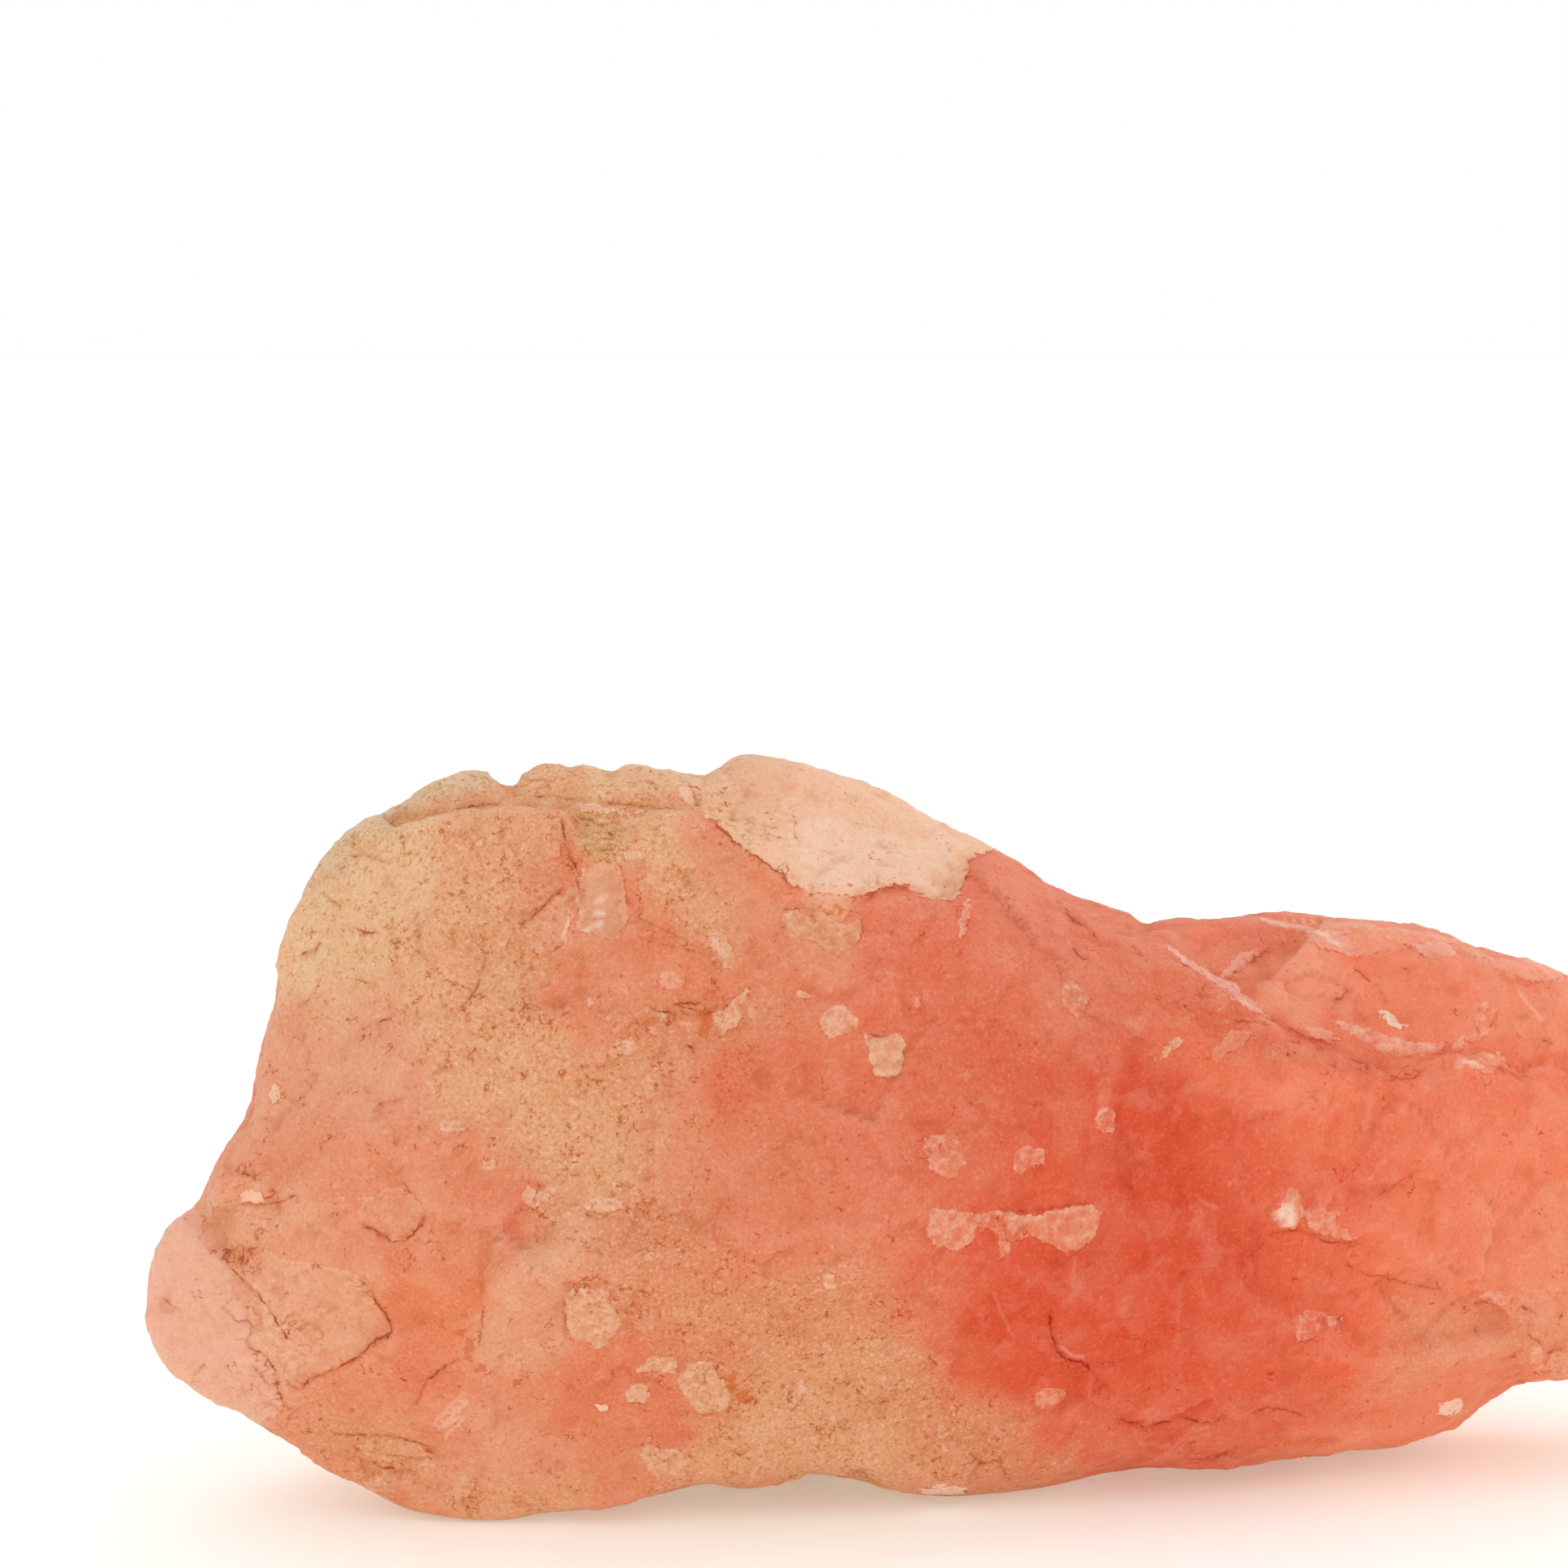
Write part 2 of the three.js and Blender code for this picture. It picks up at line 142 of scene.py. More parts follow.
@dataclass(frozen=True)
class Wash:
    """A soft area of colour: its tint, the softness of its edge in mm, and its strength.

    The corners of each mark are a text of pixels of the front view, rightwards and downwards.
    """

    name: str
    tint: Tint
    soft: float
    strength: float
    corners: str


@dataclass(frozen=True)
class Flake:
    """A crisp flake or facet: its tint, its lift above the skin in mm, and its strength."""

    name: str
    tint: Tint
    lift: float
    strength: float
    corners: str


@dataclass(frozen=True)
class Line:
    """A thin crack or vein through a few points, with its strength from 0 to 1."""

    name: str
    strength: float
    corners: str


@dataclass(frozen=True)
class Dent:
    """A nick in the stone's rim: the pixel at its centre, its half width and its depth in mm."""

    name: str
    centre: Pixel
    reach: float
    depth: float


@dataclass(frozen=True)
class Spot:
    """A small oval stain: the pixel at its centre and its two half widths in pixels."""

    name: str
    centre: Pixel
    reach: Pixel


@dataclass(frozen=True)
class Noise:
    """A noise pattern: the width of its largest lumps in mm, its finer layers and its place."""

    size: float
    detail: float
    shift: float = 0.0
    roughness: float = 0.55


@dataclass(frozen=True)
class Facets:
    """Flat pieces of one width in mm, how far a tone of painted light and shade runs over each, and
    jumps between two.
    """

    size: float
    strength: float
    jump: float = 0.8


@dataclass(frozen=True)
class Chips:
    """Pale chips of one width in mm, and the share of places without one."""

    size: float
    rarity: float


# The soft areas of colour, in the order in which they are laid.
WASHES: tuple[Wash, ...] = (
    Wash("left ground", Tint.SALMON, 3.0, 1.0,
        "120,1480 300,1380 700,1380 720,1560 720,1700 860,1780 860,1910 300,1910 120,1760"),
    Wash("mid ground", Tint.CORAL, 3.0, 1.0,
        "700,1100 1000,1120 1090,1200 1130,1400 1120,1560 900,1620 700,1500"),
    Wash("right ground", Tint.TANGERINE, 3.0, 1.0,
        "1500,1250 1980,1250 1980,1740 1700,1810 1560,1700 1500,1450"),
    Wash("upper ground", Tint.ROSE, 2.5, 1.0,
        "1000,1100 1230,1020 1440,1120 1520,1300 1300,1360 1060,1340"),
    Wash("dome skin", Tint.AMBER, 3.0, 1.0,
        "290,1215 300,1090 360,1000 450,920 560,880 612,880 606,985 578,1010 566,1060 556,1120 "
        "530,1180 485,1245 400,1262 310,1266"),
    Wash("dome rim", Tint.OAT, 0.8, 1.0,
        "330,1090 360,1020 430,950 490,890 612,880 612,965 590,990 540,992 480,1018 430,1062 "
        "390,1110"),
    Wash("dome shoulder", Tint.SAND, 1.8, 1.0,
        "545,1015 600,990 655,1000 665,1090 645,1150 655,1240 690,1320 770,1400 780,1490 700,1500 "
        "640,1430 560,1400 510,1350 480,1280 500,1190 540,1120"),
    Wash("dome shade", Tint.WHEAT, 1.0, 0.8,
        "585,1150 630,1150 655,1200 650,1260 610,1260 580,1220"),
    Wash("waist", Tint.PEACH, 3.4, 1.0,
        "295,1400 310,1330 322,1262 400,1262 480,1250 530,1290 550,1350 500,1385 400,1400"),
    Wash("crown left", Tint.WHEAT, 0.6, 0.9, "612,990 612,880 722,880 722,992"),
    Wash("crown", Tint.AMBER, 0.8, 1.0, "715,992 715,880 930,880 900,960 866,1006 810,1000"),
    Wash("crown pale", Tint.OAT, 0.5, 0.6, "500,985 520,900 612,900 612,988 570,992 540,990"),
    Wash("crown middle", Tint.HONEY, 0.5, 0.8, "640,978 650,930 690,920 702,945 700,985 645,986"),
    Wash("olive hollow", Tint.OLIVE, 0.45, 1.0,
        "701,995 800,1000 798,1025 775,1050 748,1066 725,1074 708,1064 701,1035"),
    Wash("under the crown", Tint.SAND, 1.4, 0.7, "560,1000 690,990 705,1040 660,1080 600,1075"),
    Wash("coral under the crown", Tint.CLAY, 1.2, 0.8,
        "648,1080 685,1052 706,1072 702,1105 668,1135 640,1122"),
    Wash("coral beside the crystal", Tint.WHEAT, 1.4, 0.7,
        "650,1135 715,1100 715,1165 690,1200 640,1190"),
    Wash("right of the hollow", Tint.SAND, 1.4, 1.0,
        "790,990 848,1000 888,1055 915,1115 900,1160 820,1150 780,1090"),
    Wash("along the cap", Tint.SHRIMP, 0.8, 0.9,
        "844,986 880,985 960,1040 1010,1085 988,1095 975,1125 930,1115 880,1075 850,1040"),
    Wash("along the cap deep", Tint.GINGER, 0.7, 0.8,
        "920,1060 960,1075 990,1098 965,1120 935,1095"),
    Wash("under the cap", Tint.SHRIMP, 1.6, 0.9,
        "885,1110 960,1112 1040,1125 1075,1150 1040,1190 960,1185 900,1165"),
    Wash("lip glow", Tint.MANGO, 0.6, 0.9, "975,1098 1050,1106 1050,1130 1010,1135 975,1120"),
    Wash("middle coral", Tint.BRICK, 2.0, 0.6, "905,1290 960,1275 1005,1300 985,1345 920,1345"),
    Wash("brow", Tint.SALMON, 1.8, 1.0, "690,1155 780,1145 900,1175 910,1225 800,1240 700,1235"),
    Wash("brow deep", Tint.GINGER, 0.9, 0.9,
        "800,1165 880,1182 918,1205 892,1232 850,1236 830,1212 790,1190"),
    Wash("middle tan", Tint.CLAY, 1.6, 0.8,
        "730,1235 880,1220 960,1235 970,1265 880,1290 840,1330 760,1320"),
    Wash("upper clay", Tint.SAND, 2.2, 1.0,
        "555,1300 650,1280 760,1300 840,1350 850,1420 800,1490 700,1500 640,1440 580,1390"),
    Wash("middle clay", Tint.CLAY, 2.4, 1.0,
        "690,1490 820,1465 890,1540 1050,1560 1150,1590 1150,1700 1000,1720 880,1690 760,1660 "
        "690,1600"),
    Wash("upper middle clay", Tint.SALMON, 2.2, 0.6,
        "800,1350 920,1380 920,1450 860,1480 800,1450"),
    Wash("lower clay", Tint.WHEAT, 2.2, 1.0,
        "870,1690 960,1650 1080,1650 1150,1690 1235,1720 1280,1790 1200,1860 1000,1840 880,1860 "
        "850,1770"),
    Wash("clay core", Tint.HONEY, 1.6, 0.6,
        "920,1740 1000,1730 1080,1760 1140,1800 1050,1820 930,1800"),
    Wash("coral in the clay", Tint.CORAL, 1.6, 0.9,
        "880,1480 950,1455 1015,1490 1000,1545 920,1560 870,1530"),
    Wash("coral right of it", Tint.ROSE, 2.0, 0.8,
        "1000,1330 1110,1340 1140,1470 1080,1540 1020,1450"),
    Wash("right of the cap", Tint.ROSE, 1.2, 0.8,
        "1050,1115 1180,1112 1200,1160 1120,1230 1060,1200"),
    Wash("rose bank", Tint.MELON, 1.4, 1.0,
        "1200,1050 1260,1085 1330,1130 1400,1170 1370,1240 1300,1230 1230,1160 1190,1110"),
    Wash("rose patch", Tint.MELON, 1.2, 0.7, "1310,1230 1360,1230 1370,1270 1320,1275"),
    Wash("red shoulder", Tint.BRICK, 2.0, 1.0,
        "1095,1250 1240,1230 1330,1290 1320,1400 1240,1470 1140,1450 1095,1350"),
    Wash("core", Tint.RED, 3.4, 1.0,
        "1160,1540 1185,1480 1230,1410 1290,1350 1370,1290 1480,1290 1540,1370 1580,1460 "
        "1620,1540 1640,1630 1620,1740 1500,1810 1330,1800 1220,1740 1160,1660"),
    Wash("core left", Tint.BRICK, 2.4, 0.6, "1130,1560 1190,1545 1185,1680 1145,1690"),
    Wash("core heart", Tint.EMBER, 2.0, 1.0,
        "1340,1340 1400,1300 1460,1330 1470,1400 1510,1480 1560,1560 1540,1610 1440,1590 "
        "1340,1600 1320,1540 1360,1460"),
    Wash("second heart", Tint.EMBER, 1.5, 1.0,
        "1205,1560 1290,1540 1330,1600 1315,1690 1230,1700 1195,1650"),
    Wash("core heart low", Tint.EMBER, 2.0, 0.5, "1280,1560 1500,1580 1480,1680 1300,1690"),
    Wash("core foot", Tint.BRICK, 1.6, 0.5, "1330,1720 1700,1700 1690,1800 1400,1830 1330,1790"),
    Wash("above the core", Tint.TANGERINE, 1.2, 0.9,
        "1430,1280 1560,1262 1600,1320 1530,1345 1460,1325"),
    Wash("core right", Tint.SCARLET, 2.0, 0.9, "1480,1370 1600,1400 1640,1480 1600,1500 1510,1440"),
    Wash("pale spot", Tint.APRICOT, 1.4, 1.0, "1565,1315 1660,1310 1680,1360 1620,1395 1560,1370"),
    Wash("right scarlet", Tint.SCARLET, 1.6, 0.8, "1610,1420 1720,1420 1710,1530 1640,1500"),
    Wash("right field", Tint.APRICOT, 2.6, 1.0,
        "1830,1320 1980,1300 1980,1620 1820,1600 1720,1560 1690,1510 1790,1460"),
    Wash("right end", Tint.MANGO, 2.4, 0.9, "1850,1490 1980,1470 1980,1640 1870,1630"),
    Wash("under the end seam", Tint.SALMON, 2.0, 0.9,
        "1730,1620 1800,1592 1900,1620 1980,1660 1980,1710 1850,1700 1760,1740 1710,1740 "
        "1705,1680"),
    Wash("overhang foot", Tint.MANGO, 1.2, 0.8,
        "1600,1765 1680,1745 1770,1738 1850,1708 1980,1690 1980,1760 1800,1820 1650,1825"),
    Wash("end tan", Tint.SALMON, 1.0, 0.8, "1840,1605 1980,1610 1980,1690 1880,1670"),
    Wash("hump", Tint.APRICOT, 1.2, 1.0,
        "1540,1150 1700,1155 1980,1190 1980,1310 1800,1290 1700,1275 1600,1240 1545,1215"),
    Wash("hump pale", Tint.SHELLED, 1.0, 0.75,
        "1550,1215 1600,1152 1660,1170 1690,1200 1660,1260 1600,1262 1565,1250"),
    Wash("hump left", Tint.MELON, 1.0, 1.0, "1405,1090 1580,1090 1605,1150 1545,1225 1460,1175"),
    Wash("hump left red", Tint.TANGERINE, 0.8, 0.8, "1455,1132 1512,1132 1506,1178 1470,1170"),
    Wash("hump band", Tint.APRICOT, 0.35, 0.4,
        "1512,1207 1550,1180 1600,1150 1592,1168 1562,1198 1542,1216"),
    Wash("hump top", Tint.SHELLED, 0.7, 0.25,
        "1580,1090 1980,1130 1980,1215 1880,1200 1800,1180 1700,1165 1620,1150"),
    Wash("hump rust", Tint.APRICOT, 1.2, 0.6, "1660,1180 1730,1180 1800,1230 1790,1265 1700,1250"),
    Wash("hump corner", Tint.MANGO, 1.2, 0.8, "1850,1220 1980,1210 1980,1300 1880,1280"),
    Wash("below the hump", Tint.BRICK, 0.9, 1.0,
        "1470,1215 1560,1255 1660,1298 1780,1325 1700,1345 1560,1305 1480,1262"),
    Wash("below the fans", Tint.TANGERINE, 1.0, 0.8,
        "1700,1328 1800,1328 1932,1322 1980,1350 1800,1362 1700,1352"),
    Wash("lobe ground", Tint.BLUSH, 1.4, 1.0,
        "130,1560 190,1490 250,1480 290,1560 345,1650 352,1750 300,1765 220,1740 140,1660"),
    Wash("lobe foot", Tint.FROST, 1.0, 0.8, "200,1700 340,1670 360,1770 280,1760"),
    Wash("diamond ground", Tint.SHRIMP, 1.0, 0.85,
        "262,1535 330,1530 400,1500 450,1560 485,1640 370,1715 345,1690"),
    Wash("above the diamond", Tint.SALMON, 1.4, 0.8,
        "400,1440 530,1440 545,1520 480,1545 410,1515"),
    Wash("left coral", Tint.SALMON, 1.6, 0.9,
        "490,1395 600,1395 650,1470 640,1530 580,1520 510,1470"),
    Wash("left coral core", Tint.ROSE, 1.2, 0.8, "590,1475 640,1458 655,1500 640,1540 600,1535"),
    Wash("left coral low", Tint.SHRIMP, 1.2, 0.8, "535,1600 600,1600 592,1690 545,1685"),
    Wash("left coral middle", Tint.GINGER, 1.0, 0.8,
        "470,1535 540,1548 590,1575 596,1655 560,1700 505,1700 475,1645 455,1585"),
    Wash("left coral line", Tint.CORAL, 1.6, 0.7, "480,1620 540,1640 560,1700 500,1740 450,1700"),
    Wash("left shade", Tint.FROST, 0.9, 0.7,
        "235,1500 300,1470 380,1480 430,1490 380,1510 340,1520 300,1545 262,1540"),
    Wash("notch dirt", Tint.CLAY, 0.4, 0.8,
        "262,1530 285,1528 318,1532 330,1546 318,1560 300,1566 284,1556"),
    Wash("pale step", Tint.FROST, 0.9, 0.6,
        "600,1590 625,1560 655,1535 700,1510 715,1530 700,1560 692,1590 692,1670 650,1700 "
        "600,1665"),
    Wash("lower left", Tint.PEACH, 1.8, 0.7, "560,1735 690,1730 700,1850 560,1840"),
    Wash("low coral", Tint.CORAL, 1.4, 1.0,
        "690,1665 760,1680 840,1740 825,1800 750,1785 695,1740"),
    Wash("foot", Tint.SAND, 1.4, 0.9, "540,1835 720,1825 720,1900 540,1900"),
    Wash("keel left", Tint.SAND, 1.4, 0.8, "800,1780 900,1770 900,1870 800,1870"),
    Wash("left foot", Tint.WHEAT, 1.8, 0.8, "380,1740 500,1755 560,1830 460,1860 380,1800"),
    Wash("keel", Tint.CLAY, 1.2, 0.8, "1170,1780 1330,1770 1330,1830 1180,1860"),
    Wash("hanging streak", Tint.MELON, 0.35, 0.6,
        "1350,1296 1371,1290 1377,1340 1374,1384 1354,1388 1356,1350"),
    Wash("diamond edge", Tint.CLAY, 0.25, 0.8,
        "278,1546 292,1552 318,1584 342,1618 356,1650 346,1650 326,1618 300,1586"),
    Wash("hollow rim", Tint.HONEY, 0.4, 0.7,
        "796,1000 830,1000 846,1024 826,1046 798,1046 776,1052 798,1025"),
)

# The crisp flakes and facets, and a few painted glints; a later one lies over an earlier one.
FLAKES: tuple[Flake, ...] = (
    # The cap is pale partly from its own crust and partly from painted light, where it faces up.
    Flake("cap", Tint.CREAM, 0.0, 1.0,
        "850,998 850,972 866,952 884,930 905,900 1000,900 1140,960 1270,1030 1240,1046 1212,1051 "
        "1199,1057 1190,1072 1181,1096 1171,1108 1150,1107 1135,1103 1116,1091 1099,1091 "
        "1070,1101 1045,1105 1000,1100 984,1092 968,1078 948,1066 925,1050 902,1032 884,1015"),
    Flake("cap left", Tint.AMBER, 0.0, 0.6,
        "850,998 850,972 875,950 905,925 960,925 940,960 925,990 935,1020 925,1050 902,1032 "
        "884,1015"),
    Flake("cap right", Tint.HONEY, 0.0, 0.5,
        "1150,985 1250,1035 1236,1047 1212,1051 1199,1057 1185,1040 1160,1020"),
    Flake("cap bright", Tint.MILK, 0.0, 0.4,
        "965,1020 1010,1005 1070,1012 1110,1030 1165,1035 1175,1070 1165,1098 1130,1090 1100,1085 "
        "1060,1095 1010,1090 985,1070"),
    Flake("cap flap", Tint.CREAM, 0.1, 0.5, "834,968 842,966 852,978 862,986 853,998 846,992"),
    Flake("cap upper", Tint.FROST, 0.0, 0.5,
        "850,975 870,950 890,925 910,900 1000,900 985,950 960,975 965,1000 930,1010 890,1006 "
        "853,999"),
    Flake("rusty lip", Tint.HONEY, 0.0, 0.4,
        "984,1096 1000,1103 1050,1106 1048,1120 1036,1136 1010,1136 990,1120"),
    Flake("lip frost", Tint.WHEAT, 0.05, 0.55,
        "965,1125 985,1120 1002,1137 1040,1139 1058,1130 1063,1150 1050,1166 1020,1171 1000,1156 "
        "975,1159"),
    Flake("crystal face", Tint.FROST, -0.2, 0.8,
        "712,1078 735,1062 755,1060 767,1078 771,1105 776,1125 769,1145 753,1157 735,1153 "
        "711,1143 714,1120 708,1100"),
    # Painted highlights: a glint and two glinting streaks on the crystal face.
    Flake("crystal glint", Tint.MILK, -0.1, 0.8, "735,1124 741,1119 749,1121 748,1129 740,1132"),
    Flake("crystal streak", Tint.MILK, -0.1, 0.7, "720,1149 728,1140 744,1131 751,1134 736,1143"),
    Flake("crystal streak high", Tint.MILK, -0.1, 0.45,
        "731,1118 741,1103 751,1095 749,1104 739,1115"),
    Flake("crown white", Tint.OAT, 0.1, 0.85, "573,962 590,955 600,966 596,978 578,976"),
    Flake("crown white line", Tint.CREAM, 0.1, 0.85,
        "708,990 750,993 796,999 790,1005 745,1001 712,998"),
    Flake("brow flake", Tint.FROST, 0.15, 0.85,
        "870,1150 886,1147 900,1165 909,1192 895,1195 880,1176"),
    Flake("shoulder facet", Tint.PEACH, 0.0, 0.5,
        "640,1152 656,1131 702,1094 706,1130 692,1163 664,1178"),
    Flake("brow dab", Tint.SHELL, 0.1, 0.7, "800,1200 825,1197 846,1206 836,1223 814,1215"),
    Flake("rust flake", Tint.FROST, 0.2, 0.85,
        "878,1246 894,1243 905,1228 918,1219 926,1226 913,1241 911,1265 891,1273 878,1262"),
    Flake("mid flake", Tint.FROST, 0.15, 0.75,
        "1014,1276 1011,1258 1024,1240 1040,1238 1051,1250 1063,1258 1050,1269 1034,1275 "
        "1024,1283"),
    Flake("big flake", Tint.FROST, 0.2, 0.9,
        "1061,1271 1076,1280 1106,1269 1116,1290 1112,1316 1100,1331 1081,1326 1072,1300"),
    Flake("hook flake", Tint.SHELL, 0.1, 0.7, "1117,1221 1131,1221 1139,1240 1131,1251 1127,1235"),
    Flake("white lick", Tint.PETAL, 0.1, 0.75,
        "1192,1099 1199,1106 1196,1128 1190,1146 1184,1160 1180,1154 1183,1134 1188,1116"),
    Flake("red dab", Tint.SHELL, 0.1, 0.5,
        "1318,1204 1331,1215 1343,1235 1331,1251 1312,1240 1309,1222"),
    Flake("slant chip", Tint.FROST, 0.15, 0.85,
        "1421,1303 1430,1297 1447,1277 1456,1282 1444,1299 1430,1307"),
    Flake("wedge", Tint.SHELL, 0.0, 0.6,
        "1484,1306 1500,1289 1520,1271 1547,1272 1530,1291 1500,1306"),
    Flake("streak foot", Tint.SHELL, 0.05, 0.5,
        "1353,1370 1362,1366 1374,1371 1372,1396 1355,1396 1352,1384"),
    Flake("shoulder flake", Tint.SHELL, 0.1, 0.6,
        "1140,1399 1165,1397 1186,1410 1191,1431 1175,1452 1150,1446 1137,1425"),
    Flake("core flake", Tint.SHELL, 0.1, 0.5,
        "1249,1426 1262,1411 1286,1415 1291,1431 1265,1441 1251,1453"),
    Flake("bar left", Tint.SHELL, 0.15, 0.7,
        "1147,1489 1176,1486 1206,1499 1201,1521 1186,1539 1150,1536 1137,1520 1145,1505"),
    Flake("bar bridge", Tint.SHELL, 0.1, 0.42,
        "1200,1497 1232,1491 1266,1496 1264,1507 1264,1528 1240,1531 1220,1514 1206,1514"),
    Flake("bar right", Tint.SHELL, 0.15, 0.75,
        "1255,1500 1300,1493 1345,1486 1358,1498 1351,1522 1335,1538 1310,1541 1284,1529 "
        "1262,1512"),
    Flake("bar drop", Tint.SHELL, 0.1, 0.6, "1233,1528 1246,1530 1243,1556 1236,1556"),
    Flake("white chip", Tint.SHELL, 0.25, 0.85,
        "1572,1490 1582,1477 1595,1462 1608,1480 1603,1500 1598,1514 1575,1514 1569,1500"),
    Flake("white chip heart", Tint.MILK, 0.3, 0.85, "1576,1487 1594,1485 1596,1512 1577,1512"),
    Flake("chip tail", Tint.SHELL, 0.1, 0.6,
        "1606,1490 1618,1488 1640,1492 1650,1488 1656,1496 1640,1505 1652,1510 1678,1526 "
        "1660,1531 1632,1524 1612,1512"),
    Flake("framed square", Tint.SHELL, 0.05, 0.2,
        "1604,1618 1620,1614 1636,1619 1651,1622 1648,1640 1630,1648 1602,1656 1596,1640"),
    Flake("sparkle", Tint.MILK, 0.15, 0.85,
        "1769,1730 1785,1721 1799,1719 1801,1736 1785,1743 1771,1741"),
    Flake("low dab", Tint.SHELL, 0.05, 0.5, "1268,1718 1295,1711 1317,1718 1312,1733 1280,1736"),
    Flake("hump streak", Tint.PETAL, 0.12, 0.95,
        "1438,1164 1452,1169 1475,1184 1500,1201 1526,1221 1550,1242 1566,1255 1549,1254 "
        "1520,1234 1498,1214 1470,1193 1445,1177"),
    Flake("hump lens", Tint.PETAL, 0.0, 0.6, "1600,1262 1636,1268 1652,1282 1642,1286 1616,1277"),
    Flake("hump fan", Tint.PETAL, 0.1, 0.55,
        "1640,1256 1672,1262 1700,1275 1736,1286 1780,1285 1774,1295 1740,1301 1704,1298 "
        "1684,1284 1655,1268"),
    Flake("curved chip", Tint.MILK, 0.2, 0.85,
        "1700,1246 1712,1245 1722,1259 1739,1263 1731,1271 1714,1267 1703,1257"),
    Flake("hump facet", Tint.PETAL, 0.0, 0.75,
        "1600,1146 1620,1150 1652,1149 1666,1160 1682,1177 1660,1176 1635,1168 1612,1158"),
    Flake("hump facet right", Tint.PETAL, 0.0, 0.7,
        "1738,1165 1770,1164 1802,1172 1786,1183 1754,1179"),
    Flake("hump rim", Tint.SHELLED, 0.0, 0.55,
        "1550,1130 1600,1138 1700,1142 1770,1152 1810,1160 1740,1164 1700,1172 1680,1177 "
        "1666,1160 1652,1149 1600,1147"),
    Flake("hump rim right", Tint.SHELLED, 0.0, 0.5,
        "1800,1163 1850,1180 1932,1193 1925,1208 1900,1212 1860,1203 1826,1188"),
    Flake("tan triangle", Tint.PETAL, 0.0, 0.55,
        "1500,1205 1512,1190 1530,1172 1550,1169 1562,1166 1545,1181 1530,1193 1512,1204"),
    Flake("fan right", Tint.SHELLED, 0.1, 0.55,
        "1789,1312 1806,1302 1832,1296 1852,1298 1860,1312 1838,1321 1806,1316"),
    Flake("waist white", Tint.CREAM, 0.2, 0.85, "329,1351 335,1334 345,1339 349,1356 338,1361"),
    Flake("waist dab", Tint.FROST, 0.1, 0.85, "540,1383 556,1377 578,1389 570,1396 545,1394"),
    Flake("boot flake", Tint.FROST, 0.2, 0.8,
        "645,1454 661,1470 680,1457 692,1462 673,1481 652,1491 644,1475"),
    Flake("small block", Tint.FROST, 0.2, 0.8,
        "719,1478 740,1474 762,1474 769,1485 746,1498 721,1492"),
    Flake("square chip", Tint.STRAW, 0.25, 0.75,
        "696,1592 706,1588 738,1587 752,1592 749,1600 757,1612 767,1628 762,1640 749,1648 "
        "744,1664 738,1661 722,1649 712,1651 697,1646"),
    Flake("pebble chip", Tint.FROST, 0.15, 0.85, "769,1710 785,1701 801,1715 795,1729 775,1726"),
    Flake("tiny white", Tint.MILK, 0.15, 0.85, "735,1733 744,1728 750,1737 742,1744"),
    Flake("clay flake", Tint.STRAW, 0.25, 0.85,
        "834,1700 850,1679 876,1679 891,1700 901,1726 895,1741 860,1741 845,1721"),
    Flake("clay flake left", Tint.STRAW, 0.15, 0.85,
        "784,1691 800,1674 836,1671 832,1689 800,1691"),
    Flake("fork chip", Tint.STRAW, 0.15, 0.75,
        "788,1800 795,1783 801,1769 806,1784 836,1785 851,1800 846,1812 853,1822 830,1818 "
        "805,1823 799,1808"),
    Flake("slant flake", Tint.FROST, 0.15, 0.7,
        "742,1302 757,1287 776,1276 791,1288 776,1299 757,1303"),
    Flake("brow crumbs", Tint.FROST, 0.1, 0.6, "722,1228 731,1225 736,1235 731,1246 724,1243"),
    Flake("seam crumbs", Tint.FROST, 0.1, 0.6, "800,1247 818,1244 830,1249 822,1257 806,1256"),
    Flake("seam crumbs low", Tint.FROST, 0.1, 0.5, "792,1266 808,1263 818,1268 806,1275 796,1273"),
    Flake("lip crumbs", Tint.FROST, 0.1, 0.6, "978,1222 990,1220 1000,1226 988,1230"),
    Flake("dome foot flake", Tint.FROST, 0.1, 0.5, "590,1435 600,1428 612,1434 608,1443 594,1442"),
    Flake("low flake", Tint.FROST, 0.1, 0.5, "452,1826 466,1820 478,1826 472,1836 458,1837"),
    Flake("ledge chip", Tint.FROST, 0.1, 0.4, "510,1803 524,1798 532,1806 524,1816 512,1814"),
    Flake("end corner", Tint.WHEAT, 0.1, 0.5, "1908,1672 1932,1664 1960,1664 1960,1692 1912,1694"),
    Flake("spot chip", Tint.FROST, 0.1, 0.85, "1014,1568 1026,1563 1031,1588 1018,1592"),
    Flake("foot chip", Tint.STRAW, 0.15, 0.85, "558,1835 575,1814 587,1825 577,1846 555,1846"),
    Flake("ledge", Tint.HONEY, -0.05, 0.25,
        "440,1777 470,1771 505,1776 530,1790 505,1812 468,1802 447,1790"),
    Flake("corner frost", Tint.CREAM, 0.15, 0.85,
        "294,1470 303,1465 320,1466 334,1480 320,1482 304,1480"),
    Flake("bounded face", Tint.PEACH, -0.05, 0.35,
        "440,1500 447,1478 480,1466 500,1464 515,1478 525,1495 508,1520 498,1529 480,1528 "
        "455,1514"),
    Flake("diamond", Tint.FROST, -0.1, 0.5,
        "304,1550 330,1541 345,1552 400,1560 446,1572 453,1591 465,1610 474,1628 483,1641 "
        "464,1654 447,1672 415,1686 385,1698 364,1712 347,1692 372,1690 390,1663 356,1650 "
        "346,1630 330,1607 312,1590 300,1572"),
    Flake("lobe", Tint.BLUSH, 0.0, 0.7,
        "140,1560 165,1520 195,1500 240,1485 250,1503 246,1530 270,1538 287,1552 302,1576 "
        "330,1605 346,1628 355,1648 350,1655 335,1640 315,1612 304,1608 312,1640 302,1657 "
        "320,1668 338,1683 344,1712 350,1738 330,1750 300,1770 230,1740 150,1660"),
    Flake("pale shard", Tint.FROST, 0.05, 0.6,
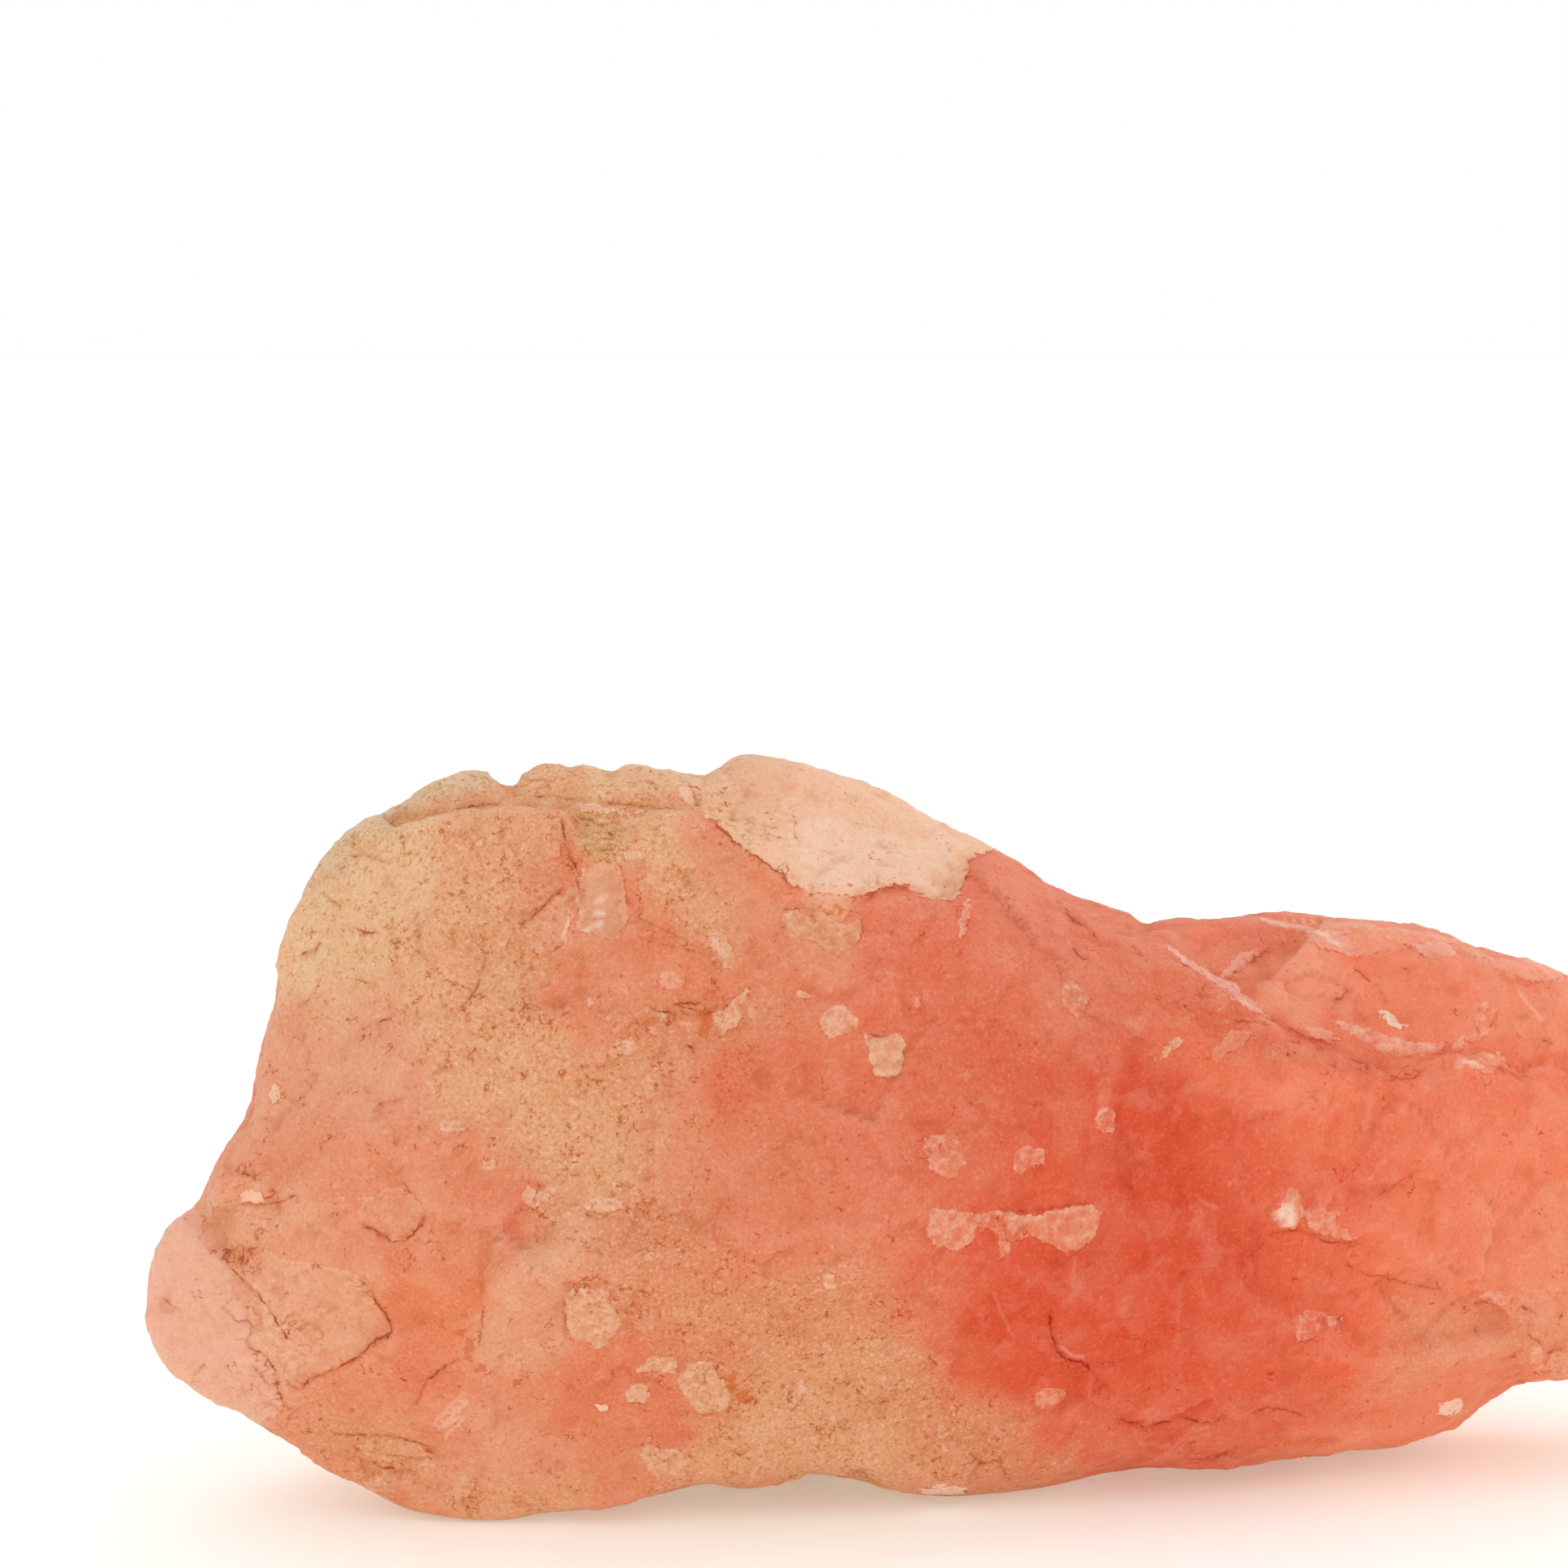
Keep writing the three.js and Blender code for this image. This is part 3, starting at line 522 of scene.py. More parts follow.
        "304,1590 330,1608 346,1631 356,1650 389,1663 371,1690 346,1691 322,1669 303,1658 "
        "313,1640 306,1614"),
    Flake("end dab", Tint.SHELLED, 0.1, 0.5, "1819,1597 1845,1590 1866,1600 1850,1609 1826,1606"),
    Flake("end dab low", Tint.SHELLED, 0.1, 0.6, "1884,1659 1900,1655 1905,1690 1890,1692"),
    # Painted highlight: a white glint along the keel.
    Flake("keel glint", Tint.MILK, 0.05, 0.85, "1128,1830 1160,1827 1192,1831 1188,1840 1140,1841"),
    Flake("end shield", Tint.SHELLED, 0.05, 0.4,
        "1816,1238 1830,1234 1842,1240 1842,1258 1834,1268 1820,1272 1816,1256"),
    Flake("end streak", Tint.SHELLED, 0.05, 0.45,
        "1786,1292 1800,1278 1826,1270 1840,1262 1846,1266 1830,1276 1806,1284 1796,1296"),
    Flake("end white", Tint.PETAL, 0.1, 0.5, "1790,1310 1800,1300 1816,1304 1812,1312 1796,1316"),
    Flake("bar edge", Tint.CREAM, 0.1, 0.6,
        "1226,1492 1262,1498 1302,1491 1345,1484 1346,1488 1302,1496 1262,1503 1228,1496"),
)

# The brown cracks.
CRACKS: tuple[Line, ...] = (
    Line("crown dark", 1.0, "560,998 578,993 598,991 617,992"),
    Line("crown line", 0.5, "622,980 650,980 690,984 740,988 800,994 850,1001"),
    Line("hollow edge", 0.9, "690,1005 694,1018 698,1040 703,1058 710,1066 716,1068"),
    Line("cap edge left", 0.6, "850,1001 885,1017 905,1035 930,1055 960,1075 975,1090 988,1096"),
    Line("cap edge right", 0.45,
        "1045,1108 1070,1103 1098,1093 1120,1094 1140,1105 1172,1109 1185,1085 1195,1060 "
        "1215,1052 1240,1046"),
    Line("cap fold", 0.4, "890,1008 915,1011 940,1018 955,1022 968,1018"),
    Line("cap fold low", 0.35, "915,1020 940,1030 955,1038"),
    Line("cap kink", 0.45, "968,1008 980,1012 978,1028 986,1042 992,1048"),
    Line("cap line", 0.3, "1000,1046 1018,1050 1045,1050"),
    Line("cap drop", 0.6, "968,1062 972,1078 982,1088 986,1094"),
    Line("cap flap edge", 0.6, "838,965 850,975 857,988 853,998 868,986"),
    Line("cap tip fleck", 0.6, "1080,1104 1066,1106 1078,1108"),
    Line("cap foot curl", 0.35, "1084,1076 1080,1086 1084,1092"),
    Line("rust seam", 0.9, "798,1242 820,1247 850,1250 886,1245"),
    Line("rust seam high", 0.7, "825,1237 845,1234 860,1238 868,1232"),
    Line("rust seam hook", 0.8, "846,1284 852,1290 856,1298"),
    Line("shoulder seam", 0.7, "702,1090 684,1104 670,1118 650,1132 636,1142"),
    Line("crystal left", 0.5, "716,1068 712,1080 712,1092 718,1100 712,1118"),
    Line("crystal right", 0.5, "772,1104 784,1116 800,1128"),
    Line("brow seam", 0.5, "780,1150 810,1162 840,1168 876,1176 900,1190"),
    Line("lip seam", 0.6, "960,1120 975,1118 990,1118"),
    Line("lip seam right", 0.5, "998,1120 1012,1124 1030,1126"),
    Line("flake brow", 0.6, "1068,1272 1080,1278 1096,1278"),
    Line("core crack", 0.95,
        "1298,1603 1293,1630 1298,1650 1303,1665 1315,1675 1333,1678 1345,1686 1350,1698 "
        "1366,1711 1377,1724"),
    Line("diamond left", 1.0,
        "249,1530 262,1539 276,1553 300,1580 322,1605 344,1635 352,1648 360,1652"),
    Line("diamond top", 0.6, "283,1545 296,1562 306,1550 300,1542 318,1538 330,1541"),
    Line("diamond right", 0.8,
        "450,1570 444,1578 453,1591 465,1609 474,1622 479,1632 483,1641 476,1648 462,1654 "
        "453,1662 446,1672 432,1680 415,1686 400,1693 385,1698 372,1706 364,1712 355,1704 "
        "346,1694"),
    Line("lobe seam", 0.85,
        "299,1659 308,1664 322,1669 332,1680 340,1690 342,1704 344,1716 350,1730 357,1736"),
    Line("shard line", 0.5, "268,1605 280,1618 292,1630 303,1626 311,1640 304,1652 299,1659"),
    Line("corner upright", 0.5, "334,1546 318,1532 315,1518 321,1512 332,1520"),
    Line("lobe hair", 0.4, "188,1598 200,1602 215,1612 230,1618"),
    Line("lobe hair low", 0.5, "234,1694 246,1688 256,1676"),
    Line("lobe foot hair", 0.45, "305,1680 318,1690 330,1706 340,1718"),
    Line("lobe foot line", 0.5, "310,1734 330,1732 350,1736 374,1740"),
    Line("shard fork", 0.5, "345,1622 357,1632 372,1640 389,1660"),
    Line("diamond stroke", 0.35, "352,1612 372,1628 392,1640 402,1652"),
    Line("diamond corner", 0.6, "438,1600 446,1594 455,1599"),
    Line("face edge", 0.8,
        "440,1508 455,1514 468,1522 482,1529 498,1529 508,1520 520,1508 525,1495"),
    Line("face tick", 0.6, "493,1453 508,1474"),
    Line("ledge top", 0.7,
        "400,1764 430,1766 455,1768 482,1771 500,1774 520,1780 530,1788 539,1797"),
    Line("ledge foot", 0.9, "452,1800 470,1808 485,1811 498,1814"),
    Line("step edge", 0.6, "596,1600 594,1622 592,1642 589,1656"),
    Line("step edge low", 0.7, "572,1668 560,1674 546,1684 536,1694 526,1702"),
    Line("step edge foot", 0.35, "526,1702 519,1716 513,1732"),
    Line("chip left edge", 0.7, "695,1602 696,1625 698,1647"),
    Line("block edge", 0.7, "718,1488 722,1496 734,1502 744,1504"),
    Line("corner foot", 0.6, "292,1480 310,1484 338,1483 352,1478 370,1471"),
    Line("bay c", 0.6, "332,1460 340,1476"),
    Line("ledge hair", 0.5, "434,1776 440,1788"),
    Line("lobe end fleck", 0.5, "355,1746 363,1752"),
    Line("dome a", 0.7, "432,1138 446,1148 466,1146"),
    Line("dome b", 0.6, "363,1177 385,1170 397,1158"),
    Line("dome c", 0.8, "458,1262 468,1256 483,1252"),
    Line("dome d", 0.6, "506,1168 518,1175 526,1184"),
    Line("dome seam", 0.5, "558,1252 572,1237 588,1215 596,1190 602,1166"),
    Line("dome e", 0.5, "399,1104 412,1110 421,1122"),
    Line("dome f", 0.5, "425,1056 446,1053 476,1061"),
    Line("dome g", 0.7, "484,1008 492,1021"),
    Line("dome h", 0.5, "490,1050 505,1053 520,1050"),
    Line("dark fleck a", 0.95, "529,1326 543,1318 552,1309"),
    Line("dark fleck b", 0.95, "572,1302 580,1296 588,1288"),
    Line("waist line", 0.65, "457,1360 478,1358 496,1352"),
    Line("keel a", 0.7, "1374,1749 1395,1755 1425,1756 1447,1750"),
    Line("keel b", 0.7, "1448,1741 1470,1752 1500,1753 1512,1739"),
    Line("keel c", 0.55, "1538,1741 1560,1735 1590,1740 1612,1749"),
    Line("keel d", 0.6, "1455,1792 1490,1796 1510,1790 1530,1778"),
    Line("end seam", 0.45,
        "1655,1545 1658,1556 1672,1566 1684,1571 1702,1573 1720,1578 1740,1583 1762,1588 "
        "1785,1587"),
    Line("end seam right", 0.6, "1812,1605 1824,1606 1840,1600"),
    Line("end seam notch", 0.7, "1872,1606 1880,1612 1892,1618"),
    Line("end edge", 0.6, "1905,1672 1918,1666 1932,1664"),
    Line("end seam low", 0.4, "1880,1646 1896,1652 1900,1660"),
    Line("end fleck d", 0.9, "1818,1638 1823,1638"),
    Line("red tick a", 0.6, "1588,1578 1604,1576"),
    Line("red tick b", 0.5, "1638,1572 1646,1569"),
    Line("red tick c", 0.5, "1626,1577 1632,1583"),
    Line("chip seam", 0.75,
        "1562,1521 1582,1520 1602,1516 1620,1524 1636,1530 1660,1532 1680,1530"),
    Line("hump line", 0.55, "1555,1252 1575,1262 1600,1276 1620,1282 1645,1287"),
    Line("fan foot", 0.7, "1652,1303 1680,1311 1706,1316 1742,1312 1768,1300 1782,1290"),
    Line("fan foot low", 0.5, "1660,1310 1680,1320 1700,1330 1742,1328 1760,1321"),
    Line("end fleck a", 0.4, "1826,1312 1850,1318 1868,1328 1890,1330"),
    Line("end fleck b", 0.5, "1868,1258 1876,1250 1886,1248"),
    Line("end fleck c", 0.5, "1902,1278 1914,1288"),
    Line("hump streak foot", 0.5, "1448,1180 1475,1195 1500,1214 1530,1238"),
    Line("below hump fleck", 0.8, "1478,1214 1488,1211 1492,1220"),
    Line("below hump fleck b", 0.6, "1470,1222 1482,1226 1492,1232"),
    Line("below hump curl", 0.5, "1520,1256 1545,1260 1566,1266"),
    Line("rock grain", 0.5, "1580,1280 1600,1284 1620,1290 1630,1296"),
    Line("hump curl", 0.6, "1640,1232 1655,1228 1664,1216"),
    Line("saddle a", 0.6, "1298,1108 1320,1130 1350,1150 1361,1167"),
    Line("saddle b", 0.85, "1323,1163 1330,1180 1343,1183"),
    Line("saddle c", 0.6, "1392,1164 1411,1181"),
    Line("hump grime a", 0.6, "1664,1192 1677,1200 1690,1215"),
    Line("hump grime b", 0.55, "1698,1220 1711,1237"),
    Line("hump grime c", 0.6, "1512,1204 1530,1191 1550,1176 1572,1165"),
    Line("keel left a", 0.7, "1188,1817 1220,1801 1242,1794"),
    Line("keel left b", 0.6, "1193,1789 1206,1801"),
    Line("keel left c", 0.5, "1222,1799 1236,1810 1246,1827"),
    Line("frame left", 0.4, "1582,1600 1590,1622 1593,1640 1597,1658"),
    Line("frame right", 0.8, "1651,1620 1649,1636 1641,1642"),
    Line("frame foot", 0.7, "1602,1656 1612,1655 1626,1649"),
    Line("brow arc", 0.3, "765,1104 790,1130 830,1150 870,1165 906,1192"),
    Line("shoulder tick", 0.65, "693,1093 672,1114 658,1121"),
    Line("bay a", 0.8, "288,1444 302,1447 313,1451 317,1447"),
    Line("bay b", 0.6, "296,1432 306,1440 314,1426"),
    Line("right grain a", 0.4, "1690,1480 1720,1460 1750,1440"),
    Line("arch line", 0.5, "1030,1808 1060,1815 1090,1830"),
    Line("end rim line", 0.35, "1838,1204 1860,1208 1885,1212 1910,1210 1925,1204"),
    Line("end shield right", 0.5, "1844,1246 1844,1258 1836,1268"),
    Line("end fleck e", 0.8, "1874,1256 1880,1252 1885,1249"),
    Line("fan corner", 0.6, "1790,1286 1780,1294 1770,1300"),
    Line("notch mesh", 0.8, "268,1538 282,1542 300,1540 316,1546 330,1542"),
    Line("notch mesh low", 0.8, "276,1550 292,1553 308,1552 320,1560"),
    Line("notch mesh cross", 0.7, "300,1534 296,1548 302,1562"),
    Line("notch fork", 0.7, "318,1530 322,1518 320,1510"),
    Line("core fork", 0.6, "1345,1686 1352,1700 1348,1716 1342,1726"),
    Line("dome mesh a", 0.5, "440,1205 452,1212 466,1208"),
    Line("crown rim a", 0.5, "574,952 586,960 598,956 608,966"),
    Line("crown rim b", 0.45, "640,952 652,962 668,958 680,966"),
    Line("bar shade", 0.5, "1228,1489 1262,1495 1300,1489 1344,1482"),
    Line("hollow a", 0.6, "708,1006 717,1013 727,1009 736,1014"),
    Line("hollow b", 0.55, "742,1021 752,1030 764,1027"),
    Line("hollow c", 0.6, "726,1040 737,1049 749,1045 756,1051"),
    Line("hollow d", 0.5, "776,1012 784,1022 780,1034"),
)

# The thin white veins.
VEINS: tuple[Line, ...] = (
    Line("step shine a", 0.35, "538,1763 560,1741 582,1717"),
    Line("step shine b", 0.3, "545,1773 560,1758 576,1742"),
    Line("core vein a", 0.1, "1224,1588 1235,1620 1251,1652"),
    Line("core vein b", 0.1, "1325,1541 1322,1585"),
    Line("core vein c", 0.08, "1468,1468 1490,1485 1507,1491"),
    Line("end vein", 0.25, "1868,1218 1880,1232 1892,1246 1904,1260"),
    Line("crack lip", 0.2, "1303,1655 1320,1668 1342,1673"),
    Line("hump rim vein", 0.6, "1550,1131 1590,1142 1625,1150 1660,1166"),
    Line("step shine c", 0.25, "530,1757 552,1733 578,1708"),
    Line("shoulder streak", 0.5, "690,1160 698,1144 704,1126"),
    Line("shoulder streak b", 0.35, "656,1136 668,1128"),
    Line("hump crest", 0.5, "1545,1130 1575,1137 1605,1148"),
    Line("end chip line", 0.5, "1797,1311 1822,1310"),
)

# The orange rust stains.
RUST_SPOTS: tuple[Spot, ...] = (
    Spot("a", (571, 1637), (8, 6)),
    Spot("b", (577, 1657), (7, 10)),
    Spot("c", (589, 1681), (8, 6)),
    Spot("d", (602, 1690), (4, 4)),
    Spot("e", (637, 1702), (6, 4)),
    Spot("seam", (871, 1256), (9, 16)),
    Spot("clay a", (903, 1703), (8, 13)),
    Spot("clay b", (918, 1721), (11, 7)),
    Spot("lip", (1020, 1122), (12, 3)),
    Spot("brow", (866, 1270), (5, 6)),
)

# The nicks in the rim.
DENTS: tuple[Dent, ...] = (
    Dent("crown notch", (628, 966), 1.1, 0.55),
    Dent("crown notch left", (612, 960), 0.8, 0.25),
    Dent("crown nick", (704, 946), 0.6, 0.3),
    Dent("crown dip", (752, 954), 1.2, 0.3),
    Dent("cap foot", (868, 958), 1.0, 0.3),
    Dent("shoulder nick", (420, 985), 0.7, 0.3),
    Dent("dome nick", (372, 1060), 0.6, 0.2),
    Dent("waist nick", (322, 1230), 0.7, 0.25),
    Dent("bay nick", (283, 1440), 0.6, 0.25),
    Dent("saddle nick", (1412, 1137), 0.9, 0.35),
    Dent("foot nick", (575, 1868), 0.6, 0.2),
    Dent("keel nick", (1000, 1822), 0.8, 0.25),
)


def as_mm(pixels: int) -> float:
    """Turns a length in pixels of the front view into mm, to a tenth."""
    return round(pixels * PIXEL, 1)


def on_face(right: int, down: int) -> Span:
    """Turns a pixel of the front view into mm across and up the face."""
    return as_mm(right - VIEW_FOOT[0]), as_mm(VIEW_FOOT[1] - down)


def read_corners(corners: str) -> Corners:
    """Reads corners that are written as "right,down right,down"."""
    return tuple(on_face(*map(int, corner.split(","))) for corner in corners.split())


def smooth_step(value: np.ndarray, low: float, high: float) -> np.ndarray:
    """Rises smoothly from 0 at low to 1 at high."""
    share = np.clip((value - low) / (high - low), 0.0, 1.0)
    return share * share * (3.0 - 2.0 * share)


def drift(points: np.ndarray, size: float, seed: int, octaves: int = 2) -> np.ndarray:
    """Smooth noise through space.

    Args:
        points: places in mm, one row each.
        size: width of its largest lumps in mm.
        seed: moves to another part of the noise.
        octaves: how many finer layers it has.

    Returns:
        One value for each place, mostly between -0.7 and 0.7.
    """
    shift = SEED_STRIDE * seed
    return np.array(
        [noise.fractal(Vector(p) / size + shift, 1.0, 2.0, octaves) for p in points]
    )


@dataclass(frozen=True)
class FacePlane:
    """The upright plane of the stone's outline, which leans and flares with the view of its face.

    Its centre and origin are in mm, its flare is the widening for each mm towards the eye, and
    its sweep is how far the outline's edge goes back for each mm right of the sweep's start.
    """

    lean: float = math.radians(7.0)
    flare: float = 1 / 300
    centre: Span = (-13.75, 50.0)
    origin: Span = (-1.168, -12.799)
    sweep: float = 0.2
    sweep_start: float = -32.5

    def places(self, points: np.ndarray) -> tuple[np.ndarray, np.ndarray, np.ndarray]:
        """Finds where points lie on the face.

        Args:
            points: places in mm in the stone's own frame.

        Returns:
            How far across and how far up each lies, and how far in front of the outline, in mm.
        """
        x = points[:, 0] - self.origin[0]
        y = points[:, 1] - self.origin[1]
        z = points[:, 2]
        depth = y * math.cos(self.lean) - z * math.sin(self.lean)
        rise = y * math.sin(self.lean) + z * math.cos(self.lean)
        widening = 1 + depth * self.flare
        across = self.centre[0] + (x - self.centre[0]) / widening
        up = self.centre[1] + (rise - self.centre[1]) / widening
        return across, up, self.sweep * (across - self.sweep_start) - depth


def stretch_ends(corners: Corners, closed: bool) -> list[tuple[np.ndarray, np.ndarray]]:
    """The straight stretches between the corners, and back to the first if it is closed."""
    points = [np.array(corner) for corner in corners]
    return list(zip(points, points[1:] + points[:1] if closed else points[1:]))


def inside_depth(across: np.ndarray, up: np.ndarray, corners: Corners) -> np.ndarray:
    """Measures how far inside an outline each place lies.

    Args:
        across: places across the face in mm.
        up: places up the face in mm.
        corners: the outline's corners.

    Returns:
        The distance to the outline in mm, negative outside it.
    """
    nearest = np.full(across.shape, np.inf)
    inside = np.zeros(across.shape, bool)
    for start, end in stretch_ends(corners, closed=True):
        run = end - start
        a, u = across - start[0], up - start[1]
        along = np.clip((a * run[0] + u * run[1]) / (run @ run), 0.0, 1.0)
        nearest = np.minimum(nearest, np.hypot(a - along * run[0], u - along * run[1]))
        if run[1]:
            crosses = (start[1] > up) != (end[1] > up)
            inside ^= crosses & (a < u * run[0] / run[1])
    return np.where(inside, nearest, -nearest)


def line_side(
    across: np.ndarray, up: np.ndarray, line: Line, fade: float, taper: float = 0.12
) -> tuple[np.ndarray, np.ndarray]:
    """Measures each place against a line.

    Args:
        across: places across the face in mm.
        up: places up the face in mm.
        line: the crack or vein.
        fade: how far from the line it stops counting, in mm.
        taper: the share of its length over which each end thins out.

    Returns:
        The distance in mm, negative on one side, and the line's strength there, which tapers.
    """
    nearest = np.full(across.shape, np.inf)
    side = np.full(across.shape, fade)
    part = np.zeros(across.shape)
    stretches = stretch_ends(read_corners(line.corners), closed=False)
    for i, (start, end) in enumerate(stretches):
        run = end - start
        a, u = across - start[0], up - start[1]
        along = np.clip((a * run[0] + u * run[1]) / (run @ run), 0.0, 1.0)
        distance = np.hypot(a - along * run[0], u - along * run[1])
        closer = distance < nearest
        nearest = np.where(closer, distance, nearest)
        side = np.where(closer, np.copysign(distance, run[0] * u - run[1] * a), side)
        part = np.where(closer, (i + along) / len(stretches), part)
    thinned = smooth_step(np.minimum(part, 1 - part), 0.0, taper)
    return side, line.strength * thinned * smooth_step(nearest, fade, 0.5 * fade)


@dataclass
class PaintLayers:
    """What is painted on each vertex of the skin."""

    ground: np.ndarray
    flake_tint: np.ndarray
    flake_depth: np.ndarray
    flake_lift: np.ndarray
    flake_turn: np.ndarray
    crack_side: np.ndarray
    crack_strength: np.ndarray
    vein_side: np.ndarray
    vein_strength: np.ndarray
    rust_depth: np.ndarray
    grime: np.ndarray


@dataclass
class QuartzPainter:
    """Works out the colour layers from the named marks, and scatters others where none is named.

    Lengths are in mm. A pair of numbers says where something starts and where it is full.
    """

    plane: FacePlane = field(default_factory=FacePlane)
    face_edge: Span = (-1.5, 0.5)
    back_edge: Span = (0.5, -2.5)
    behind: float = -2.0
    far: float = 9.0
    front_warp: float = 2.0
    back_warp: float = 6.0
    warp_size: float = 3.8
    softening: float = 1.3
    cloud: float = 0.08
    cloud_size: float = 4.5
    clouds: Span = (0.05, 0.6)
    cloud_deepening_and_facet_shade: Colour = (0.94, 0.50, 0.40)
    flake_warp: float = 0.15
    flake_warp_size: float = 1.2
    turn_reach: float = 0.12
    wrap: float = 3.0
    wrap_ragged: float = 5.0
    line_fade: float = 1.2
    seed: int = 11
    back_rough_size: float = 1.6
    back_flakes: int = 150
    back_strength: float = 0.65
    back_tints: tuple[Tint, ...] = (
        Tint.SHELL, Tint.FROST, Tint.STRAW, Tint.SHELLED, Tint.CREAM, Tint.SHRIMP,
    )
    back_radius: Span = (0.4, 2.0)
    back_rarity: float = 2.5
    back_stretch: Span = (0.6, 1.4)
    back_ragged: float = 0.45
    back_lift: Span = (-0.2, 0.25)
    back_cracks: int = 90
    crack_length: Span = (2.0, 9.0)
    crack_bend: float = 1.3
    crack_power: Span = (0.35, 0.9)

    def paint(self, points: np.ndarray) -> PaintLayers:
        """Paints every layer.

        Args:
            points: the vertices in mm.

        Returns:
            The layers, one value or colour for each vertex.
        """
        across, up, front = self.plane.places(points)
        frontness = smooth_step(front, *self.face_edge)
        ground, grime = self._ground(points, across, up, frontness)
        tint, depth, lift, turn = self._flakes(points, across, up, front, ground)
        layers = PaintLayers(
            ground, tint, depth, lift, turn,
            *self._lines(across, up, frontness, CRACKS),
            *self._lines(across, up, frontness, VEINS),
            self._rust(across, up, front),
            grime,
        )
        self._scatter(points, front, layers)
        return layers

    def _ground(
        self, points: np.ndarray, across: np.ndarray, up: np.ndarray, frontness: np.ndarray
    ) -> tuple[np.ndarray, np.ndarray]:
        """Lays the soft washes in their order, their edges drifting more behind.

        Args:
            points: the vertices in mm.
            across: their places across the face.
            up: their places up the face.
            frontness: 1 on the face and 0 behind it.

        Returns:
            The ground colour and the grime of each vertex.
        """
        warp = self.front_warp + (self.back_warp - self.front_warp) * (1 - frontness)
        across = across + warp * drift(points, self.warp_size, Seed.WASH_ACROSS, 3)
        up = up + warp * drift(points, self.warp_size, Seed.WASH_UP, 3)
        colour = np.tile(np.array(Tint.CORAL.linear), (len(points), 1))
        grime = np.full(len(points), Tint.CORAL.grime)
        for wash in WASHES:
            soft = self.softening * wash.soft
            share = wash.strength * smooth_step(
                inside_depth(across, up, read_corners(wash.corners)), -soft, soft
            )
            colour += share[:, None] * (np.array(wash.tint.linear) - colour)
            grime += share * (wash.tint.grime - grime)
        cloud = drift(points, self.cloud_size, Seed.CLOUD, 5)
        low, high = self.clouds
        pale = self.cloud * smooth_step(cloud, low, high)[:, None]
        deep = self.cloud * smooth_step(cloud, -low, -high)[:, None]
        colour += pale * (np.array(Tint.CREAM.linear) - colour)
        colour *= 1 + deep * (np.array(self.cloud_deepening_and_facet_shade) - 1)
        return colour, grime

    def _flakes(
        self,
        points: np.ndarray,
        across: np.ndarray,
        up: np.ndarray,
        front: np.ndarray,
        ground: np.ndarray,
    ) -> tuple[np.ndarray, np.ndarray, np.ndarray, np.ndarray]:
        """Finds the nearest named flake to each vertex.

        Args:
            points: the vertices in mm.
            across: their places across the face.
            up: their places up the face.
            front: how far in front of the outline they lie.
            ground: the ground colour, which shows where no flake is near.

        Returns:
            The flake's colour, the depth inside its edge in mm, its lift in mm, and how far its
            nearest edge turns to the upper left, from -1 to 1.
        """
        size = self.flake_warp_size
        across = across + self.flake_warp * drift(points, size, Seed.FLAKE_ACROSS)
        up = up + self.flake_warp * drift(points, size, Seed.FLAKE_UP)
        tint = ground.copy()
        depth = np.full(len(points), -self.far)
        lift = np.zeros(len(points))
        turn = np.zeros(len(points))
        ragged = drift(points, self.cloud_size, Seed.WRAP, 3)
        reach = front + self.wrap + self.wrap_ragged * ragged
        for flake in FLAKES:
            corners = read_corners(flake.corners)
            inside = np.minimum(inside_depth(across, up, corners), reach)
            over = (inside > depth) | (inside > 0)
            # Which way the nearest edge turns, which steers the painted shadow and highlight at the
            # flake edges.
            beside = inside_depth(
                across[over] + self.turn_reach, up[over] - self.turn_reach, corners
            )
            turn[over] = (beside - inside[over]) / self.turn_reach
            below = np.where(depth[:, None] > 0, tint, ground)[over]
            tint[over] = below + flake.strength * (np.array(flake.tint.linear) - below)
            lift[over] = flake.lift
            depth = np.where(inside > 0, inside, np.maximum(depth, inside))
        return tint, depth, lift, np.clip(turn, -1.0, 1.0)

    def _lines(
        self, across: np.ndarray, up: np.ndarray, frontness: np.ndarray, lines: tuple[Line, ...]
    ) -> tuple[np.ndarray, np.ndarray]:
        """Finds the strongest line at each vertex.

        Args:
            across: places across the face in mm.
            up: places up the face in mm.
            frontness: 1 on the face and 0 behind it.
            lines: the cracks or the veins.

        Returns:
            The distance to it in mm, negative on one side, and its strength.
        """
        side = np.full(across.shape, self.line_fade)
        strength = np.zeros(across.shape)
        for line in lines:
            distance, power = line_side(across, up, line, self.line_fade)
            nearer = (power > 0) & (np.abs(distance) < np.abs(side))
            side = np.where(nearer, distance, side)
            strength = np.where(nearer, power * frontness, strength)
        return side, strength

    def _rust(self, across: np.ndarray, up: np.ndarray, front: np.ndarray) -> np.ndarray:
        """The depth inside the nearest rust spot in mm, negative outside."""
        depth = np.full(across.shape, -self.far)
        for spot in RUST_SPOTS:
            centre = on_face(*spot.centre)
            wide, high = map(as_mm, spot.reach)
            radius = np.hypot((across - centre[0]) / wide, (up - centre[1]) / high)
            depth = np.maximum(depth, (1 - radius) * min(wide, high))
        return np.minimum(depth, front)

    def _scatter(self, points: np.ndarray, front: np.ndarray, layers: PaintLayers) -> None:
        """Scatters flakes, and then cracks, over the sides and the back.

        Args:
            points: the vertices in mm.
            front: how far in front of the outline they lie.
            layers: the layers, which it adds to.
        """
        chance = random.Random(self.seed)
        centres = points[front < self.behind]
        away = smooth_step(front, *self.back_edge)
        rough = np.stack(
            [
                drift(points, self.back_rough_size, seed)
                for seed in (Seed.BACK_X, Seed.BACK_Y, Seed.BACK_Z)
            ],
            axis=1,
        )
        for _ in range(self.back_flakes):
            gap = points - centres[chance.randrange(len(centres))]
            self._back_flake(chance, gap, away, rough, layers)
        for _ in range(self.back_cracks):
            gap = points - centres[chance.randrange(len(centres))]
            self._back_crack(chance, gap, away, rough, layers)

